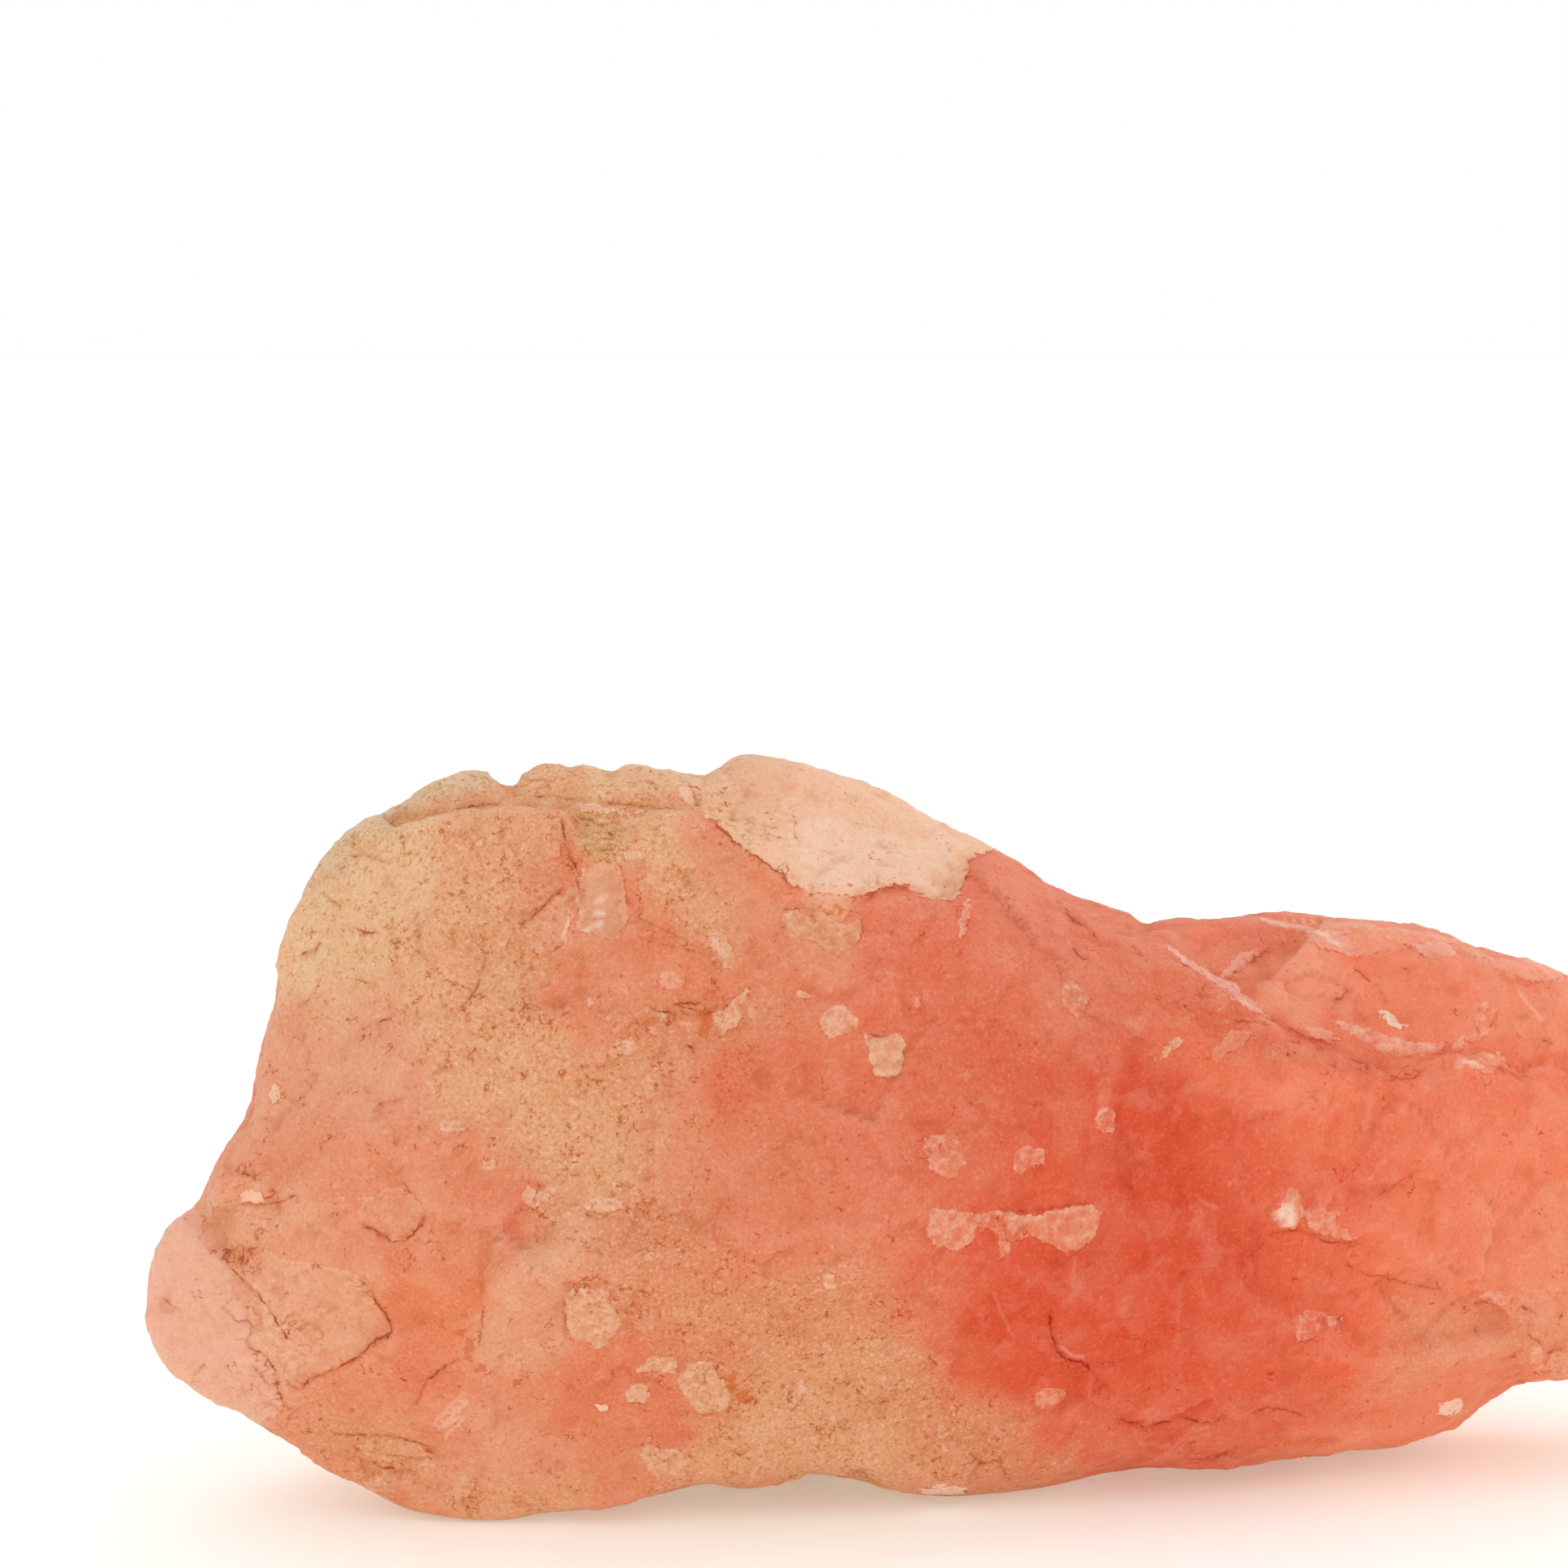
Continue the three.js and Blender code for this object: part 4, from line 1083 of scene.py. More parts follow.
    def _back_flake(
        self,
        chance: random.Random,
        gap: np.ndarray,
        away: np.ndarray,
        rough: np.ndarray,
        layers: PaintLayers,
    ) -> None:
        """Adds one flake behind the face.

        Args:
            chance: the seeded random draws.
            gap: from the flake's centre to each vertex in mm.
            away: 1 behind the face and 0 on it.
            rough: three noises, which make its edge ragged.
            layers: the layers, which it adds to.
        """
        smallest, more = self.back_radius
        radius = smallest + more * chance.random() ** self.back_rarity
        stretch = np.array([chance.uniform(*self.back_stretch) for _ in range(3)])
        gap = gap * stretch + self.back_ragged * radius * rough
        depth = (radius - np.linalg.norm(gap, axis=1)) * away - self.far * (1 - away)
        over = depth > layers.flake_depth
        tint = np.array(chance.choice(self.back_tints).linear)
        below = layers.ground[over]
        layers.flake_tint[over] = below + self.back_strength * (tint - below)
        layers.flake_lift[over] = chance.uniform(*self.back_lift)
        layers.flake_depth[over] = depth[over]

    def _back_crack(
        self,
        chance: random.Random,
        gap: np.ndarray,
        away: np.ndarray,
        rough: np.ndarray,
        layers: PaintLayers,
    ) -> None:
        """Adds one crack behind the face.

        Args:
            chance: the seeded random draws.
            gap: from the crack's middle to each vertex in mm.
            away: 1 behind the face and 0 on it.
            rough: three noises, of which the first bends it.
            layers: the layers, which it adds to.
        """
        facing = Vector([chance.gauss(0, 1) for _ in range(3)]).normalized()
        length = chance.uniform(*self.crack_length)
        side = gap @ np.array(facing) + self.crack_bend * rough[:, 0]
        near = smooth_step(np.linalg.norm(gap, axis=1), length, 0.6 * length)
        power = chance.uniform(*self.crack_power) * near * away
        power *= smooth_step(np.abs(side), self.line_fade, 0.5 * self.line_fade)
        over = (power > 0) & (np.abs(side) < np.abs(layers.crack_side))
        layers.crack_side[over] = side[over]
        layers.crack_strength[over] = power[over]


@dataclass(frozen=True)
class Shards:
    """One size of flat breaks: their spacing in mm, the slope to which they tilt, and their step.

    The step between two breaks is a share of the spacing times the slope.
    """

    spacing: float
    tilt: float
    seed: int
    step: float = 0.4

    def heights(self, points: np.ndarray) -> np.ndarray:
        """Tilts a flat piece around each of a scatter of seeds.

        Args:
            points: the vertices in mm.

        Returns:
            The height of the broken surface at each vertex, in mm.
        """
        chance = random.Random(self.seed)
        low, high = points.min(axis=0), points.max(axis=0)
        counts = np.ceil((high - low) / self.spacing).astype(int) + 1
        tree = kdtree.KDTree(int(np.prod(counts)))
        seeds, slopes = [], []
        for cell in np.ndindex(*counts):
            jitter = np.array([chance.uniform(-0.5, 0.5) for _ in range(3)])
            seeds.append(low + (np.array(cell) + jitter) * self.spacing)
            slopes.append([chance.uniform(-self.tilt, self.tilt) for _ in range(4)])
            tree.insert(seeds[-1], len(seeds) - 1)
        tree.balance()
        nearest = [tree.find(p)[1] for p in points]
        gap = points - np.array(seeds)[nearest]
        slope = np.array(slopes)[nearest]
        return (gap * slope[:, :3]).sum(axis=1) + slope[:, 3] * self.spacing * self.step


@dataclass
class RoseQuartz:
    """The whole stone: a finely meshed, roughened and painted skin in place of the solid's.

    Lengths are in mm. A pair of numbers says where something starts and where it is full.
    """

    name: str = "rough_rose_quartz"
    voxel: float = 0.49
    rounds: int = 4
    easing: float = 0.5
    foot: Span = (0.05, 0.5)
    roughened_foot: Span = (0.0, 1.5)
    swell: float = 0.25
    swell_size: float = 7.0
    shard_bend: float = 0.5
    grain: float = 0.08
    grain_size: float = 1.3
    flake_rise: Span = (-0.15, 0.35)
    flat_crumb: float = 0.35
    groove: float = 0.12
    groove_width: float = 0.30
    dent_fade: Span = (-6.0, -2.0)
    dent_floor: float = 0.1
    cavity_rounds: int = 6
    cavity_depth: float = 0.12
    painter: QuartzPainter = field(default_factory=QuartzPainter)
    shards: tuple[Shards, ...] = (
        Shards(6.5, 0.034, 21),
        Shards(2.6, 0.045, 22),
        Shards(1.2, 0.06, 23),
    )

    def build(self, finish: "QuartzFinish") -> bpy.types.Object:
        """Makes the stone, dresses it and puts it in the solid's place.

        Args:
            finish: the stone's material.

        Returns:
            The finished piece.
        """
        piece = bpy.data.objects.new(self.name, self._fine_skin(self._merged_copy()))
        bpy.context.scene.collection.objects.link(piece)
        mesh = piece.data
        points = self._eased(mesh)
        self._move(mesh, points)
        layers = self.painter.paint(points)
        points = points + self._normals(mesh) * self._relief(points, layers)[:, None]
        points[:, 2] = np.maximum(points[:, 2], 0.0)
        cavity = self._cavity(mesh, points)
        self._move(mesh, points)
        self._store(mesh, layers, cavity)
        mesh.materials.clear()
        mesh.materials.append(finish.material())
        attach(piece, "root")
        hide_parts(NODE)
        LOG.info("%s: %d faces", self.name, len(mesh.polygons))
        return piece

    def _merged_copy(self) -> bpy.types.Mesh:
        """A copy of the solid's mesh with its loose triangles joined."""
        solid = bmesh.new()
        solid.from_mesh(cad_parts[NODE].data)
        bmesh.ops.remove_doubles(solid, verts=solid.verts, dist=SAME_PLACE)
        mesh = bpy.data.meshes.new(self.name)
        solid.to_mesh(mesh)
        solid.free()
        return mesh

    def _fine_skin(self, mesh: bpy.types.Mesh) -> bpy.types.Mesh:
        """Remeshes the solid into small even faces.

        Args:
            mesh: the merged solid.

        Returns:
            The fine mesh.
        """
        draft = bpy.data.objects.new("draft", mesh)
        bpy.context.scene.collection.objects.link(draft)
        remesh = draft.modifiers.new("fine", "REMESH")
        remesh.mode = "VOXEL"
        remesh.voxel_size = self.voxel * MM
        remesh.use_smooth_shade = True
        graph = bpy.context.evaluated_depsgraph_get()
        fine = bpy.data.meshes.new_from_object(draft.evaluated_get(graph))
        bpy.data.objects.remove(draft)
        bpy.data.meshes.remove(mesh)
        fine.name = self.name
        return fine

    def _edges(self, mesh: bpy.types.Mesh) -> np.ndarray:
        """The mesh's edges as pairs of vertex numbers."""
        pairs = np.empty(len(mesh.edges) * 2, np.int32)
        mesh.edges.foreach_get("vertices", pairs)
        return pairs.reshape(-1, 2)

    def _neighbour_mean(self, pairs: np.ndarray, values: np.ndarray) -> np.ndarray:
        """The mean of each vertex's neighbours."""
        first, second = pairs[:, 0], pairs[:, 1]
        size = len(values)
        count = np.bincount(first, minlength=size) + np.bincount(second, minlength=size)
        sums = [
            np.bincount(first, column[second], size) + np.bincount(second, column[first], size)
            for column in values.T
        ]
        return np.stack(sums, axis=1) / count[:, None]

    def _eased(self, mesh: bpy.types.Mesh) -> np.ndarray:
        """Eases the solid's flat facets into each other, but not its feet.

        Args:
            mesh: the fine mesh.

        Returns:
            The eased vertices in mm.
        """
        points = np.empty(len(mesh.vertices) * 3)
        mesh.vertices.foreach_get("co", points)
        points = points.reshape(-1, 3) / MM
        pairs = self._edges(mesh)
        free = smooth_step(points[:, 2], *self.foot)[:, None]
        for _ in range(self.rounds):
            points = points + self.easing * free * (self._neighbour_mean(pairs, points) - points)
        return points

    def _normals(self, mesh: bpy.types.Mesh) -> np.ndarray:
        """The direction straight out of the skin at each vertex."""
        normals = np.empty(len(mesh.vertices) * 3)
        mesh.vertex_normals.foreach_get("vector", normals)
        return normals.reshape(-1, 3)

    def _move(self, mesh: bpy.types.Mesh, points: np.ndarray) -> None:
        """Moves the vertices to new places, given in mm."""
        mesh.vertices.foreach_set("co", (points * MM).ravel())
        mesh.update()

    def _relief(self, points: np.ndarray, layers: PaintLayers) -> np.ndarray:
        """Adds up everything that roughens the skin.

        Args:
            points: the eased vertices in mm.
            layers: the painted layers.

        Returns:
            How far each vertex moves outward, in mm.
        """
        height = self.swell * drift(points, self.swell_size, Seed.SWELL, 3)
        for shards in self.shards:
            bends = [drift(points, shards.spacing, shards.seed + axis) for axis in range(3)]
            height += shards.heights(points + self.shard_bend * np.stack(bends, axis=1))
        height += self.grain * drift(points, self.grain_size, Seed.GRAIN, 3)
        height += layers.flake_lift * smooth_step(layers.flake_depth, *self.flake_rise)
        across, up, front = self.painter.plane.places(points)
        rim = smooth_step(front, *self.dent_fade)
        for dent in DENTS:
            centre = on_face(*dent.centre)
            away = np.hypot(across - centre[0], up - centre[1])
            floor = self.dent_floor * dent.reach
            height -= dent.depth * rim * smooth_step(away, dent.reach, floor)
        height -= self.groove * layers.crack_strength * np.exp(
            -((layers.crack_side / self.groove_width) ** 2)
        )
        return height * smooth_step(points[:, 2], *self.roughened_foot)

    def _cavity(self, mesh: bpy.types.Mesh, points: np.ndarray) -> np.ndarray:
        """How hollow the skin is at each vertex, from -1 on a ridge to 1 in a hollow."""
        pairs = self._edges(mesh)
        smooth = points
        for _ in range(self.cavity_rounds):
            smooth = self._neighbour_mean(pairs, smooth)
        bend = ((smooth - points) * self._normals(mesh)).sum(axis=1)
        return np.clip(bend / self.cavity_depth, -1.0, 1.0)

    def _store(self, mesh: bpy.types.Mesh, layers: PaintLayers, cavity: np.ndarray) -> None:
        """Writes the painted layers to the mesh's attributes."""
        for name in ("ground", "flake_tint"):
            colours = np.ones((len(cavity), 4))
            colours[:, :3] = getattr(layers, name)
            mesh.attributes.new(name, "FLOAT_COLOR", "POINT").data.foreach_set(
                "color", colours.ravel()
            )
        values = {
            "flake_depth": layers.flake_depth,
            "flake_turn": layers.flake_turn,
            "flake_crumb": np.where(layers.flake_lift > 0, 1.0, self.flat_crumb),
            "crack_side": layers.crack_side,
            "crack_strength": layers.crack_strength,
            "vein_side": layers.vein_side,
            "vein_strength": layers.vein_strength,
            "rust_depth": layers.rust_depth,
            "grime": layers.grime,
            "cavity": cavity,
        }
        for name, value in values.items():
            mesh.attributes.new(name, "FLOAT", "POINT").data.foreach_set(
                "value", value.astype(np.float32)
            )


class NodeSheet:
    """Lays out and joins the shader nodes of one material."""

    def __init__(self, name: str) -> None:
        """Makes an empty material of that name."""
        self.material = bpy.data.materials.new(name)
        self.material.use_nodes = True
        self.tree = self.material.node_tree
        self.tree.nodes.clear()

    def add(self, kind: str, **settings: object) -> bpy.types.Node:
        """Adds a node and sets its own settings."""
        node = self.tree.nodes.new(kind)
        for key, value in settings.items():
            setattr(node, key, value)
        return node

    def feed(self, socket: bpy.types.NodeSocket, value: object) -> None:
        """Joins a socket to another, or gives it a plain value."""
        if isinstance(value, bpy.types.NodeSocket):
            self.tree.links.new(value, socket)
        elif socket.type == "RGBA" and len(value) == 3:
            socket.default_value = (*value, 1.0)
        else:
            socket.default_value = value

    def attribute(self, name: str, colour: bool = False) -> bpy.types.NodeSocket:
        """Reads one of the skin's attributes."""
        node = self.add("ShaderNodeAttribute", attribute_name=name)
        return node.outputs["Color" if colour else "Fac"]

    def sum(self, operation: str, *values: object) -> bpy.types.NodeSocket:
        """A math node over up to three values."""
        node = self.add("ShaderNodeMath", operation=operation)
        for socket, value in zip(node.inputs, values):
            self.feed(socket, value)
        return node.outputs[0]

    def product(self, *values: object) -> object:
        """All the values multiplied together."""
        return reduce(lambda first, second: self.sum("MULTIPLY", first, second), values)

    def vector(self, operation: str, *values: object) -> bpy.types.NodeSocket:
        """A vector math node over up to two vectors."""
        node = self.add("ShaderNodeVectorMath", operation=operation)
        for socket, value in zip(node.inputs, values):
            self.feed(socket, value)
        return node.outputs["Value" if operation == "DOT_PRODUCT" else "Vector"]

    def scaled(self, vector: bpy.types.NodeSocket, scale: float) -> bpy.types.NodeSocket:
        """A vector times a number."""
        node = self.add("ShaderNodeVectorMath", operation="SCALE")
        self.feed(node.inputs[0], vector)
        self.feed(node.inputs["Scale"], scale)
        return node.outputs["Vector"]

    def step(self, value: object, low: float, high: float) -> bpy.types.NodeSocket:
        """Rises smoothly from 0 where the value is low to 1 where it is high."""
        node = self.add("ShaderNodeMapRange", interpolation_type="SMOOTHSTEP")
        falling = low > high
        self.feed(node.inputs["Value"], value)
        self.feed(node.inputs["From Min"], min(low, high))
        self.feed(node.inputs["From Max"], max(low, high))
        self.feed(node.inputs["To Min"], 1.0 if falling else 0.0)
        self.feed(node.inputs["To Max"], 0.0 if falling else 1.0)
        return node.outputs["Result"]

    def near(self, value: object, outer: float, inner: float) -> bpy.types.NodeSocket:
        """Rises smoothly from 0 where the value is far from 0 to 1 where it is near it."""
        return self.step(self.sum("ABSOLUTE", value), outer, inner)

    def noise(
        self, place: bpy.types.NodeSocket, noise: Noise, colour: bool = False
    ) -> bpy.types.NodeSocket:
        """Smooth noise, about 0.5 in the mean.

        Args:
            place: the place in mm.
            noise: its size, its finer layers and the part of it that is used.
            colour: whether the three channels are wanted.

        Returns:
            The noise.
        """
        node = self.add("ShaderNodeTexNoise", noise_dimensions="3D")
        shift = (noise.shift, -noise.shift, 2 * noise.shift)
        self.feed(node.inputs["Vector"], self.vector("ADD", place, shift))
        self.feed(node.inputs["Scale"], 1 / noise.size)
        self.feed(node.inputs["Detail"], noise.detail)
        self.feed(node.inputs["Roughness"], noise.roughness)
        return node.outputs["Color" if colour else "Fac"]

    def cells(
        self, place: bpy.types.NodeSocket, size: float, feature: str = "F1"
    ) -> bpy.types.Node:
        """A cell pattern with cells of a size in mm."""
        node = self.add("ShaderNodeTexVoronoi", voronoi_dimensions="3D", feature=feature)
        self.feed(node.inputs["Vector"], place)
        self.feed(node.inputs["Scale"], 1 / size)
        return node

    def channels(self, colour: bpy.types.NodeSocket) -> bpy.types.NodeOutputs:
        """The three channels of a colour."""
        node = self.add("ShaderNodeSeparateColor")
        self.feed(node.inputs[0], colour)
        return node.outputs

    def blend(
        self, share: object, first: object, second: object, mode: str = "MIX"
    ) -> bpy.types.NodeSocket:
        """Blends two colours.

        Args:
            share: how much of the second there is.
            first: the colour below.
            second: the colour above.
            mode: how they are blended.

        Returns:
            The blended colour.
        """
        node = self.add("ShaderNodeMix", data_type="RGBA", blend_type=mode)
        below, above = (socket for socket in node.inputs if socket.type == "RGBA")
        self.feed(node.inputs["Factor"], share)
        self.feed(below, first)
        self.feed(above, second)
        return next(socket for socket in node.outputs if socket.type == "RGBA")


@dataclass(frozen=True)
class QuartzFinish:
    """Frosty, slightly translucent quartz with stains, flakes, cracks and fine grain, and painted
    light and shade on its breaks, its flake edges and its hollows.

    Lengths are in mm. A pair of numbers says where a mark starts and where it is full.
    """

    name: str = "rough_quartz"
    glow: float = 0.22
    glow_reach: float = 2.0
    glow_colour: Colour = (1.0, 0.42, 0.28)
    light_bend: float = 1.54
    gloss: float = 0.10
    sheen_rough: float = 0.56
    sheen_play: float = 0.35
    flake_polish: float = 0.10
    bump: float = 0.45
    bump_reach: float = 0.3
    # The painted shade that darkens one side of each flat break.
    cloud_deepening_and_facet_shade: Colour = (0.99, 0.935, 0.91)
    flake_deepening: Colour = (0.95, 0.82, 0.72)
    # A brown for stains, specks and chip outlines, and also for painted shade at flake edges and in
    # hollows.
    stain_and_shade: Colour = (0.84, 0.58, 0.37)
    crack: Colour = (0.68, 0.36, 0.20)
    chasm: Colour = (0.46, 0.18, 0.08)

    shake: Noise = Noise(1.1, 3.0)
    fine: Noise = Noise(0.55, 4.0, 7.0, 0.62)
    grit: Noise = Noise(0.24, 2.0, 17.0, 0.6)
    crumb: Noise = Noise(0.6, 4.0, 23.0, 0.65)
    edge_shadow_break: Noise = Noise(0.9, 2.0, 41.0)
    curl: Noise = Noise(0.38, 1.0, 53.0)
    cluster: Noise = Noise(0.42, 2.0, 61.0)
    hair: Noise = Noise(2.6, 4.0, 71.0)
    crowd: Noise = Noise(2.0, 3.0, 77.0)
    crack_break: Noise = Noise(0.8, 2.0, 83.0)
    tooth: Noise = Noise(0.8, 4.0, 91.0, 0.62)

    # The flat breaks, whose pale and deep tones are painted light and painted shade.
    facet_bend: float = 1.2
    facet_slant: float = math.radians(-38)
    facet_shape: Place = (0.7, 1.0, 1.9)
    broad_facets: Facets = Facets(4.2, 0.50)
    narrow_facets: Facets = Facets(1.7, 0.20)
    facet_painted_light: float = 0.065
    facet_light_and_shade_tone: Span = (0.02, 0.55)

    chip_sizes: tuple[Chips, ...] = (Chips(1.25, 0.98), Chips(0.55, 0.95))
    chip_bend: float = 0.8
    chip_rim: Span = (0.04, 0.09)
    chip_pale: Span = (0.22, 0.05)
    chip_grime: float = 1.2
    chip_lined: Span = (0.4, 1.0)
    chip_lined_grime: Span = (0.1, 0.6)
    chip_line: float = 0.7

    flake_ragged: float = 1.0
    flake_rim: Span = (-0.03, 0.05)
    flake_pale: float = 0.24
    crumb_pale: Span = (0.50, 0.60)
    crumb_deep: Span = (0.48, 0.39)
    crumb_fine: Span = (0.60, 0.68)
    crumb_fine_share: float = 0.30
    # Painted shadow under the flakes' lower right edges, and painted highlight on their upper left
    # ones.
    edge_shadow_shift: float = 0.04
    edge_shadow_line: Span = (0.09, 0.03)
    edge_shadow_gaps: Span = (0.42, 0.60)
    edge_shadow_lower: Span = (1.1, -0.7)
    edge_highlight_width: Span = (0.26, 0.08)
    edge_highlight_upper: Span = (-0.1, 0.7)
    edge_highlight_share: float = 0.15

    grit_dark: Span = (0.50, 0.26)
    grit_dark_grime: Span = (0.6, 0.4)
    grit_dark_share: float = 0.62
    grit_pale: Span = (0.50, 0.76)
    grit_pale_grime: Span = (0.8, 0.1)
    grit_pale_share: float = 0.48
    fleck: Span = (0.66, 0.72)
    fleck_share: float = 0.60
    curl_line: Span = (0.075, 0.03)
    cluster_crowd: float = 0.35
    cluster_grime: float = 0.20
    squiggles: Span = (0.85, 1.00)
    speck: Span = (0.10, 0.16)
    specks: Span = (0.90, 1.00)
    speck_share: float = 0.4
    hair_level: float = 0.52
    hair_line: Span = (0.013, 0.005)
    hair_crowd: float = 0.8
    hairs: Span = (1.25, 1.38)
    hair_share: float = 0.8

    crack_ragged: float = 0.6
    crack_dirt: Span = (0.32, 0.05)
    crack_dirt_share: float = 0.50
    crack_line: Span = (0.09, 0.04)
    crack_gaps: Span = (0.38, 0.58)
    vein_ragged: float = 0.35
    vein_line: Span = (0.20, 0.05)
    rust_ragged: float = 1.4
    rust_rim: Span = (-0.10, 0.10)
    rust_share: float = 0.65
    # Painted shade in the hollows, and paler ridges.
    hollow: Span = (0.1, 1.0)
    hollow_shade_share: float = 0.35
    ridge: Span = (-0.3, -1.0)
    ridge_share: float = 0.06

    def material(self) -> bpy.types.Material:
        """Builds the material, from the ground colour up.

        Returns:
            The finished material.
        """
        surface = QuartzSurface(self)
        surface.paint_facet_light_and_shade()
        for chips in self.chip_sizes:
            surface.scatter_chips(chips)
        surface.lay_flakes()
        surface.paint_flake_edge_shadow_and_highlight()
        surface.add_grit()
        surface.add_squiggles()
        surface.draw_lines()
        surface.rust_hollow_shade_and_pale_ridges()
        return surface.finished()


class QuartzSurface:
    """Lays the finish's patterns over each other and keeps the colour that they come to."""

    def __init__(self, finish: QuartzFinish) -> None:
        """Starts from the skin's ground colour and the patterns that several marks share."""
        sheet = NodeSheet(finish.name)
        corner = sheet.add("ShaderNodeTexCoord").outputs["Object"]
        self.finish = finish
        self.sheet = sheet
        self.place = sheet.scaled(corner, 1 / MM)
        shake = sheet.noise(self.place, finish.shake, colour=True)
        self.shake = sheet.vector("SUBTRACT", shake, HALF_WAY)
        self.fine = sheet.noise(self.place, finish.fine)
        self.wobble = sheet.sum("SUBTRACT", self.fine, 0.5)
        self.grime = sheet.attribute("grime")
        self.flake_depth = self._ragged("flake_depth", finish.flake_ragged)
        self.flake = sheet.step(self.flake_depth, *finish.flake_rim)
        self.colour = sheet.attribute("ground", colour=True)

    def _lay(self, tint: Tint, *shares: object) -> None:
        """Lays a tint over the colour, as strongly as the shares' product."""
        share = self.sheet.product(*shares)
        self.colour = self.sheet.blend(share, self.colour, tint.linear)

    def _soak(self, stain_and_shade: Colour, *shares: object) -> None:
        """Darkens the colour with a dark colour, as strongly as the shares' product: a stain, a
        crack, and also painted shade.
        """
        share = self.sheet.product(*shares)
        self.colour = self.sheet.blend(share, self.colour, stain_and_shade, "MULTIPLY")

    def _ragged(self, attribute: str, reach: float) -> bpy.types.NodeSocket:
        """One of the skin's distances in mm, made ragged by up to about half of the reach."""
        return self.sheet.sum("MULTIPLY_ADD", self.wobble, reach, self.sheet.attribute(attribute))

    def _weighed(self, value: object, slope: float, start: float) -> bpy.types.NodeSocket:
        """A value times the slope, plus the start."""
        return self.sheet.sum("MULTIPLY_ADD", value, slope, start)

    def paint_facet_light_and_shade(self) -> None:
        """Paints light and shade over the ground in flat breaks, each paler to one side and deeper
        to the other.
        """
        sheet, finish, ground = self.sheet, self.finish, self.colour
        bent = sheet.vector("ADD", self.place, sheet.scaled(self.shake, finish.facet_bend))
        slant = sheet.add("ShaderNodeMapping", vector_type="TEXTURE")
        sheet.feed(slant.inputs["Vector"], bent)
        slant.inputs["Rotation"].default_value = (0.0, finish.facet_slant, 0.0)
        slant.inputs["Scale"].default_value = finish.facet_shape
        broad = self._tilt(bent, finish.broad_facets)
        tone = sheet.sum("ADD", broad, self._tilt(slant.outputs[0], finish.narrow_facets))
        pale = sheet.blend(finish.facet_painted_light, ground, Tint.CREAM.linear)
        deep = sheet.blend(1.0, ground, finish.cloud_deepening_and_facet_shade, "MULTIPLY")
        low, high = finish.facet_light_and_shade_tone
        # Painted light on one side of each break, painted shade on the other.
        self.colour = sheet.blend(sheet.step(tone, low, high), ground, pale)
        self.colour = sheet.blend(sheet.step(tone, -low, -high), self.colour, deep)

    def _tilt(self, place: bpy.types.NodeSocket, facets: Facets) -> bpy.types.NodeSocket:
        """A tone of painted light and shade that runs across each of many flat pieces and jumps
        where two meet.

        Args:
            place: the place in mm.
            facets: the width of a piece, and how far the tone runs.

        Returns:
            The tone, around 0.
        """
        sheet = self.sheet
        cells = sheet.cells(place, facets.size)
        facing = sheet.vector("SUBTRACT", cells.outputs["Color"], HALF_WAY)
        gap = sheet.vector("SUBTRACT", place, cells.outputs["Position"])
        run = sheet.vector(
            "DOT_PRODUCT",
            sheet.scaled(gap, 2.0 * facets.strength / facets.size),
            sheet.scaled(facing, 2.0),
        )
        level = sheet.sum("SUBTRACT", sheet.channels(cells.outputs["Color"])[2], 0.5)
        return sheet.sum("ADD", run, sheet.product(level, facets.jump * facets.strength))

    def scatter_chips(self, chips: Chips) -> None:
        """Scatters small pale chips over the skin, partly outlined in brown.

        Args:
            chips: their width in mm, and the share of places without one.
        """
        sheet, finish = self.sheet, self.finish
        bend = sheet.scaled(self.shake, finish.chip_bend * chips.size)
        bent = sheet.vector("ADD", self.place, bend)
        lot, paleness, outline = sheet.channels(sheet.cells(bent, chips.size).outputs["Color"])
        chip = sheet.sum("GREATER_THAN", lot, chips.rarity)
        edge = sheet.cells(bent, chips.size, "DISTANCE_TO_EDGE").outputs["Distance"]
        inner, outer = finish.chip_rim
        self._lay(
            Tint.MILK,
            self._weighed(paleness, *finish.chip_pale),
            sheet.product(self.grime, finish.chip_grime),
            sheet.product(chip, sheet.step(edge, inner, outer)),
        )
        self._soak(
            finish.stain_and_shade,
            sheet.product(chip, sheet.step(edge, outer, inner)),
            sheet.step(outline, *finish.chip_lined),
            sheet.step(self.grime, *finish.chip_lined_grime),
            finish.chip_line,
        )

    def lay_flakes(self) -> None:
        """Lays the flakes, with small breaks and crumbs of milk white."""
        sheet, finish = self.sheet, self.finish
        tint = sheet.attribute("flake_tint", colour=True)
        tone = sheet.noise(self.place, finish.crumb)
        crumb = sheet.attribute("flake_crumb")
        fine = sheet.step(self.fine, *finish.crumb_fine)
        pale = sheet.blend(finish.flake_pale, tint, Tint.MILK.linear)
        deep = sheet.blend(1.0, tint, finish.flake_deepening, "MULTIPLY")
        shades = (
            (sheet.product(sheet.step(tone, *finish.crumb_pale), crumb), pale),
            (sheet.product(sheet.step(tone, *finish.crumb_deep), crumb), deep),
            (sheet.product(fine, finish.crumb_fine_share), pale),
        )
        for share, shade in shades:
            tint = sheet.blend(share, tint, shade)
        self.colour = sheet.blend(self.flake, self.colour, tint)

    def paint_flake_edge_shadow_and_highlight(self) -> None:
        """Paints shade and light on the flakes' edges: a brown painted shadow under their lower
        right edges, a white painted highlight on the others.
        """
        sheet, finish = self.sheet, self.finish
        turn = sheet.attribute("flake_turn")
        line = sheet.near(sheet.sum("ADD", self.flake_depth, finish.edge_shadow_shift), *finish.edge_shadow_line)
        gaps = sheet.step(sheet.noise(self.place, finish.edge_shadow_break), *finish.edge_shadow_gaps)
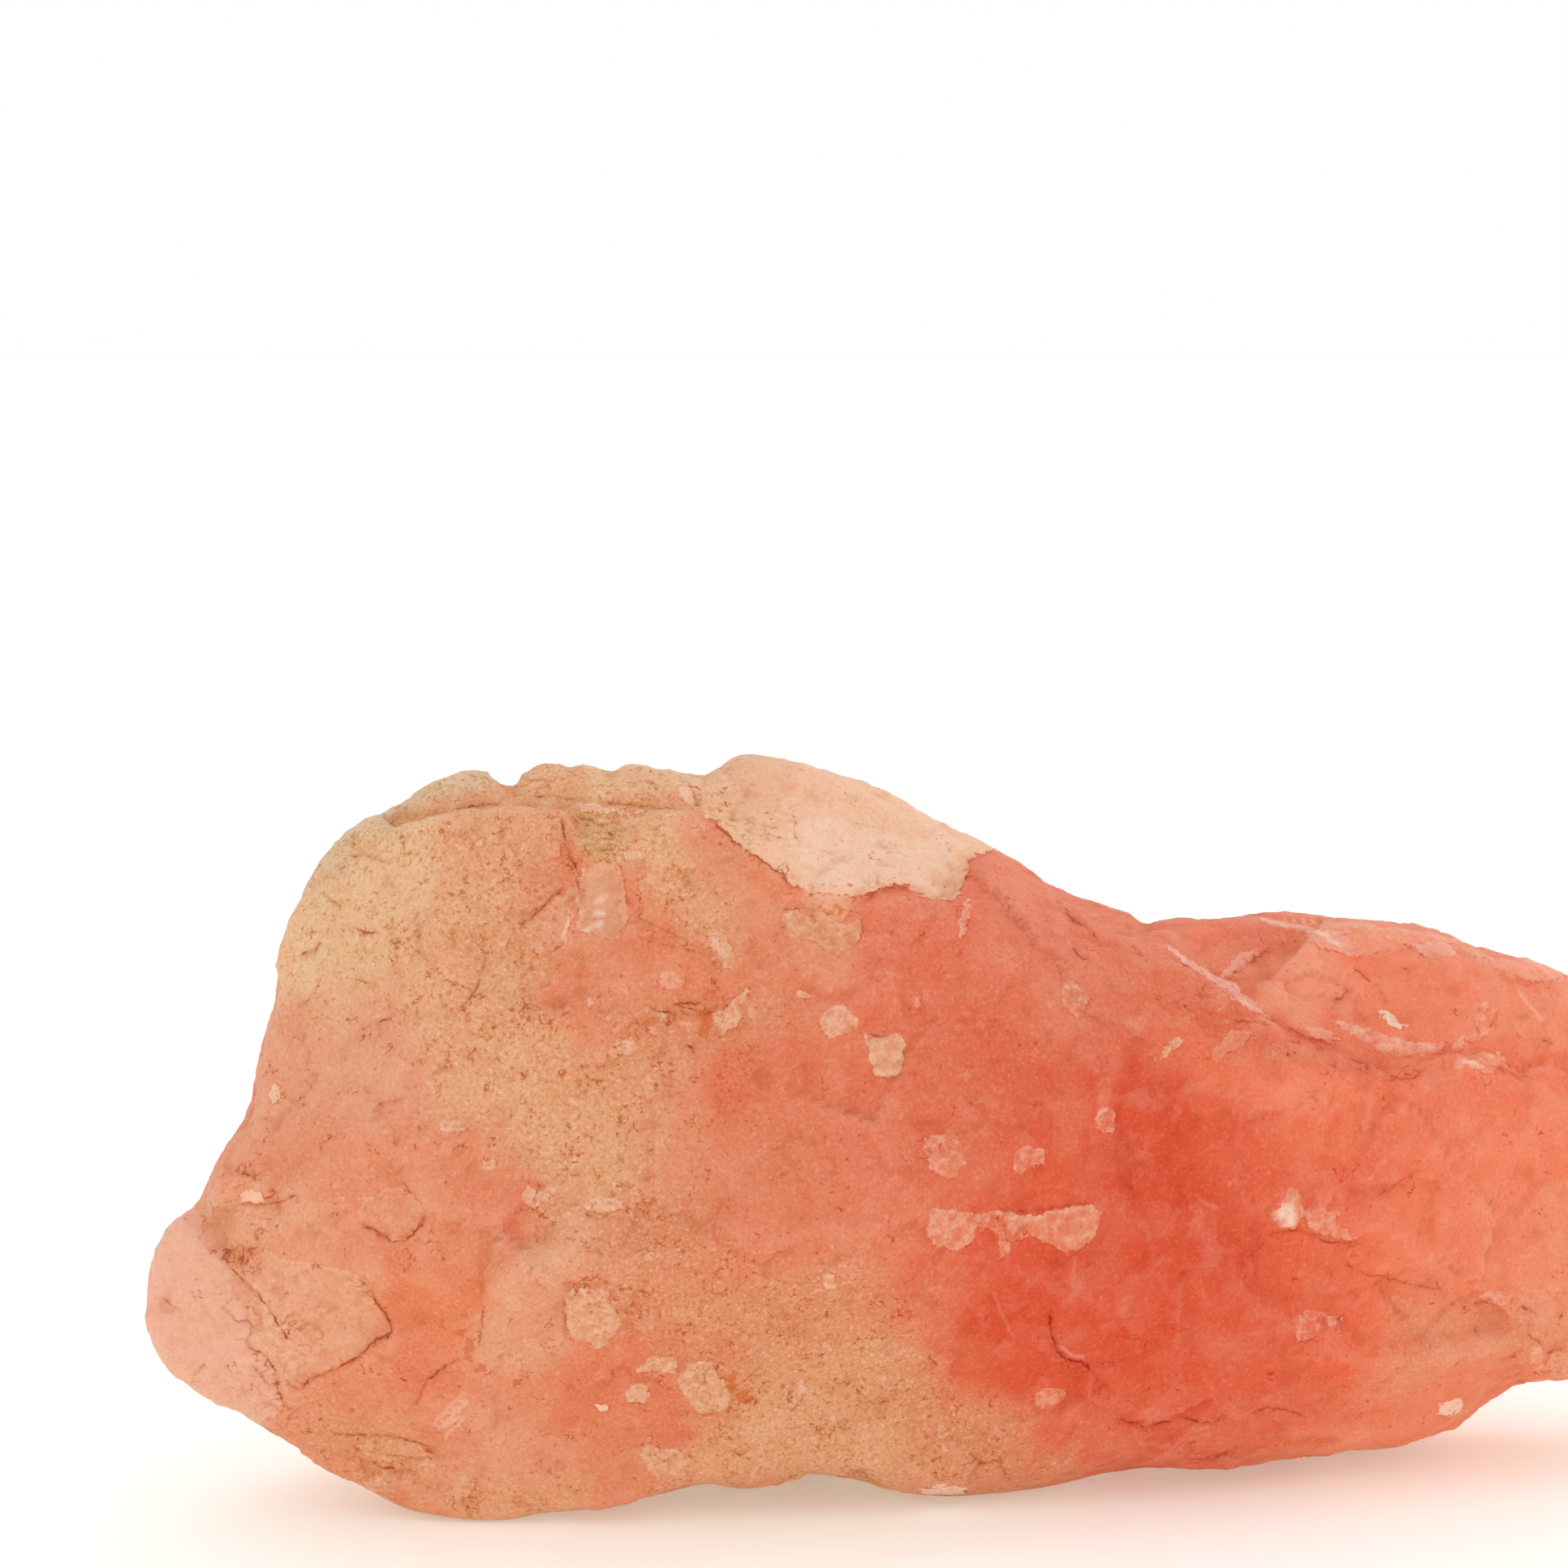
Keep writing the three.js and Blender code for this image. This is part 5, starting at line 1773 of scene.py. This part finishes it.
        # Painted shadow: a brown line under the lower right edges.
        self._soak(finish.stain_and_shade, line, gaps, sheet.step(turn, *finish.edge_shadow_lower))
        # Painted highlight: milk white along the upper left edges.
        lip = sheet.step(self.flake_depth, *finish.edge_highlight_width)
        upper = sheet.step(turn, *finish.edge_highlight_upper)
        self._lay(Tint.MILK, lip, upper, self.flake, finish.edge_highlight_share)

    def add_grit(self) -> None:
        """Strews fine dark and pale grit and pale flecks, thicker where the grime is."""
        sheet, finish = self.sheet, self.finish
        grit = sheet.noise(self.place, finish.grit)
        dark = self._weighed(self.grime, *finish.grit_dark_grime)
        self._soak(
            finish.stain_and_shade, sheet.step(grit, *finish.grit_dark), dark, finish.grit_dark_share
        )
        pale = self._weighed(self.grime, *finish.grit_pale_grime)
        self._lay(Tint.MILK, sheet.step(grit, *finish.grit_pale), pale, finish.grit_pale_share)
        self._lay(Tint.MILK, sheet.step(self.fine, *finish.fleck), pale, finish.fleck_share)

    def add_squiggles(self) -> None:
        """Draws short brown squiggles, dark dots and hair cracks, in clusters."""
        sheet, finish = self.sheet, self.finish
        curl = sheet.sum("SUBTRACT", sheet.noise(self.place, finish.curl), 0.5)
        crowd = sheet.noise(self.place, finish.crowd)
        cluster = sheet.noise(self.place, finish.cluster)
        cluster = self._weighed(crowd, finish.cluster_crowd, cluster)
        cluster = self._weighed(self.grime, finish.cluster_grime, cluster)
        thin = sheet.near(curl, *finish.curl_line)
        self._soak(finish.stain_and_shade, thin, sheet.step(cluster, *finish.squiggles))
        speck = sheet.step(curl, *finish.speck)
        self._soak(
            finish.crack, speck, sheet.step(cluster, *finish.specks), finish.speck_share
        )
        hair = sheet.sum("SUBTRACT", sheet.noise(self.place, finish.hair), finish.hair_level)
        crowded = self._weighed(crowd, finish.hair_crowd, cluster)
        self._soak(
            finish.crack,
            sheet.near(hair, *finish.hair_line),
            sheet.step(crowded, *finish.hairs),
            finish.hair_share,
        )

    def draw_lines(self) -> None:
        """Draws the named cracks with their dirt, and the named white veins."""
        sheet, finish = self.sheet, self.finish
        away = self._ragged("crack_side", finish.crack_ragged)
        strength = sheet.attribute("crack_strength")
        gaps = sheet.step(sheet.noise(self.place, finish.crack_break), *finish.crack_gaps)
        dirt = sheet.near(away, *finish.crack_dirt)
        self._soak(finish.stain_and_shade, dirt, strength, finish.crack_dirt_share)
        self._soak(finish.chasm, sheet.near(away, *finish.crack_line), strength, gaps)
        pale = sheet.near(self._ragged("vein_side", finish.vein_ragged), *finish.vein_line)
        self._lay(Tint.MILK, pale, sheet.attribute("vein_strength"))

    def rust_hollow_shade_and_pale_ridges(self) -> None:
        """Lays the rust, darkens the hollows with painted shade and pales the ridges."""
        sheet, finish = self.sheet, self.finish
        rust = sheet.step(self._ragged("rust_depth", finish.rust_ragged), *finish.rust_rim)
        self._lay(Tint.RUST, rust, finish.rust_share)
        cavity = sheet.attribute("cavity")
        # Painted shade: the hollows darkened with brown.
        self._soak(finish.stain_and_shade, sheet.step(cavity, *finish.hollow), finish.hollow_shade_share)
        self._lay(Tint.MILK, sheet.step(cavity, *finish.ridge), finish.ridge_share)

    def _bump(self) -> bpy.types.NodeSocket:
        """Fine broken grain over the modelled relief."""
        node = self.sheet.add("ShaderNodeBump")
        node.inputs["Strength"].default_value = self.finish.bump
        node.inputs["Distance"].default_value = self.finish.bump_reach * MM
        self.sheet.feed(node.inputs["Height"], self.sheet.noise(self.place, self.finish.tooth))
        return node.outputs["Normal"]

    def finished(self) -> bpy.types.Material:
        """Gives the colour its frosted gloss and its glow.

        Returns:
            The finished material.
        """
        sheet, finish = self.sheet, self.finish
        shader = sheet.add("ShaderNodeBsdfPrincipled")
        sheet.feed(shader.inputs["Base Color"], self.colour)
        rough = self._weighed(self.wobble, finish.sheen_play, finish.sheen_rough)
        rough = self._weighed(self.flake, -finish.flake_polish, rough)
        sheet.feed(shader.inputs["Roughness"], rough)
        shader.inputs["IOR"].default_value = finish.light_bend
        shader.inputs["Specular IOR Level"].default_value = finish.gloss
        shader.inputs["Subsurface Weight"].default_value = finish.glow
        shader.inputs["Subsurface Radius"].default_value = finish.glow_colour
        shader.inputs["Subsurface Scale"].default_value = finish.glow_reach * MM
        sheet.feed(shader.inputs["Normal"], self._bump())
        output = sheet.add("ShaderNodeOutputMaterial")
        sheet.feed(output.inputs["Surface"], shader.outputs[0])
        return sheet.material


@dataclass(frozen=True)
class Lamp:
    """A soft square lamp, which faces the stone: its place and side in metres, and its watts."""

    name: str
    place: Place
    width: float
    power: float

    def hang(self) -> None:
        """Puts the lamp in its place."""
        light = bpy.data.lights.new(self.name, "AREA")
        light.size = self.width
        light.energy = self.power
        lamp = bpy.data.objects.new(self.name, light)
        lamp.location = self.place
        lamp.rotation_euler = (-Vector(self.place)).to_track_quat("-Z", "Y").to_euler()
        bpy.context.scene.collection.objects.link(lamp)


@dataclass
class Studio:
    """The plain floor, the soft light and the camera, in metres.

    The half view is half the width of what the camera sees, at a distance of one.
    """

    floor_reach: float = 3.0
    floor_colour: Colour = (0.88, 0.88, 0.88)
    floor_rough: float = 0.8
    floor_glow: float = 0.30
    glow_colour: Colour = (0.88, 0.98, 0.84)
    sky: float = 0.90
    sky_colour: Colour = (0.99, 0.998, 1.0)
    backdrop: float = 1.0
    lamps: tuple[Lamp, ...] = (
        Lamp("back", (0.30, 0.20, 0.12), 0.40, 0.45),
        Lamp("front", (-0.25, -0.55, 0.35), 0.45, 0.30),
    )
    eye: Place = (-0.014918, -0.304460, 0.086238)
    tilt: float = math.radians(83.0)
    half_view: float = 53.13 / 300
    near_limit: float = 0.01

    def build(self) -> None:
        """Makes everything around the stone."""
        self._floor()
        self._sky()
        for lamp in self.lamps:
            lamp.hang()
        self._camera()

    def _floor(self) -> None:
        """A wide pale floor."""
        grid = bmesh.new()
        bmesh.ops.create_grid(grid, x_segments=1, y_segments=1, size=self.floor_reach)
        mesh = bpy.data.meshes.new("floor")
        grid.to_mesh(mesh)
        grid.free()
        floor = bpy.data.objects.new("floor", mesh)
        bpy.context.scene.collection.objects.link(floor)
        sheet = NodeSheet("floor")
        shader = sheet.add("ShaderNodeBsdfPrincipled")
        shader.inputs["Base Color"].default_value = (*self.floor_colour, 1.0)
        shader.inputs["Roughness"].default_value = self.floor_rough
        shader.inputs["Emission Color"].default_value = (*self.glow_colour, 1.0)
        shader.inputs["Emission Strength"].default_value = self.floor_glow
        sheet.feed(sheet.add("ShaderNodeOutputMaterial").inputs["Surface"], shader.outputs[0])
        mesh.materials.append(sheet.material)

    def _sky(self) -> None:
        """An even white light from everywhere, before a plain white backdrop."""
        world = bpy.data.worlds.new("studio")
        world.use_nodes = True
        tree = world.node_tree
        light = tree.nodes["Background"]
        light.inputs["Color"].default_value = (*self.sky_colour, 1.0)
        light.inputs["Strength"].default_value = self.sky
        drop = tree.nodes.new("ShaderNodeBackground")
        drop.inputs["Color"].default_value = (*self.sky_colour, 1.0)
        drop.inputs["Strength"].default_value = self.backdrop
        seen = tree.nodes.new("ShaderNodeLightPath").outputs["Is Camera Ray"]
        mix = tree.nodes.new("ShaderNodeMixShader")
        tree.links.new(seen, mix.inputs["Fac"])
        tree.links.new(light.outputs[0], mix.inputs[1])
        tree.links.new(drop.outputs[0], mix.inputs[2])
        tree.links.new(mix.outputs[0], tree.nodes["World Output"].inputs["Surface"])
        bpy.context.scene.world = world

    def _camera(self) -> None:
        """The camera, a little above the stone and looking slightly down at its face."""
        lens = bpy.data.cameras.new("camera")
        lens.lens = lens.sensor_width / 2 / self.half_view
        lens.clip_start = self.near_limit
        camera = bpy.data.objects.new("camera", lens)
        camera.location = self.eye
        camera.rotation_euler = (self.tilt, 0.0, 0.0)
        bpy.context.scene.collection.objects.link(camera)
        bpy.context.scene.camera = camera


def main() -> None:
    """Builds the studio and the stone, and logs the stone's number of faces."""
    logging.basicConfig(level=logging.INFO, format="%(name)s: %(message)s")
    bpy.context.scene.view_settings.view_transform = "Standard"
    Studio().build()
    RoseQuartz().build(QuartzFinish())


if __name__ == "__main__":
    main()
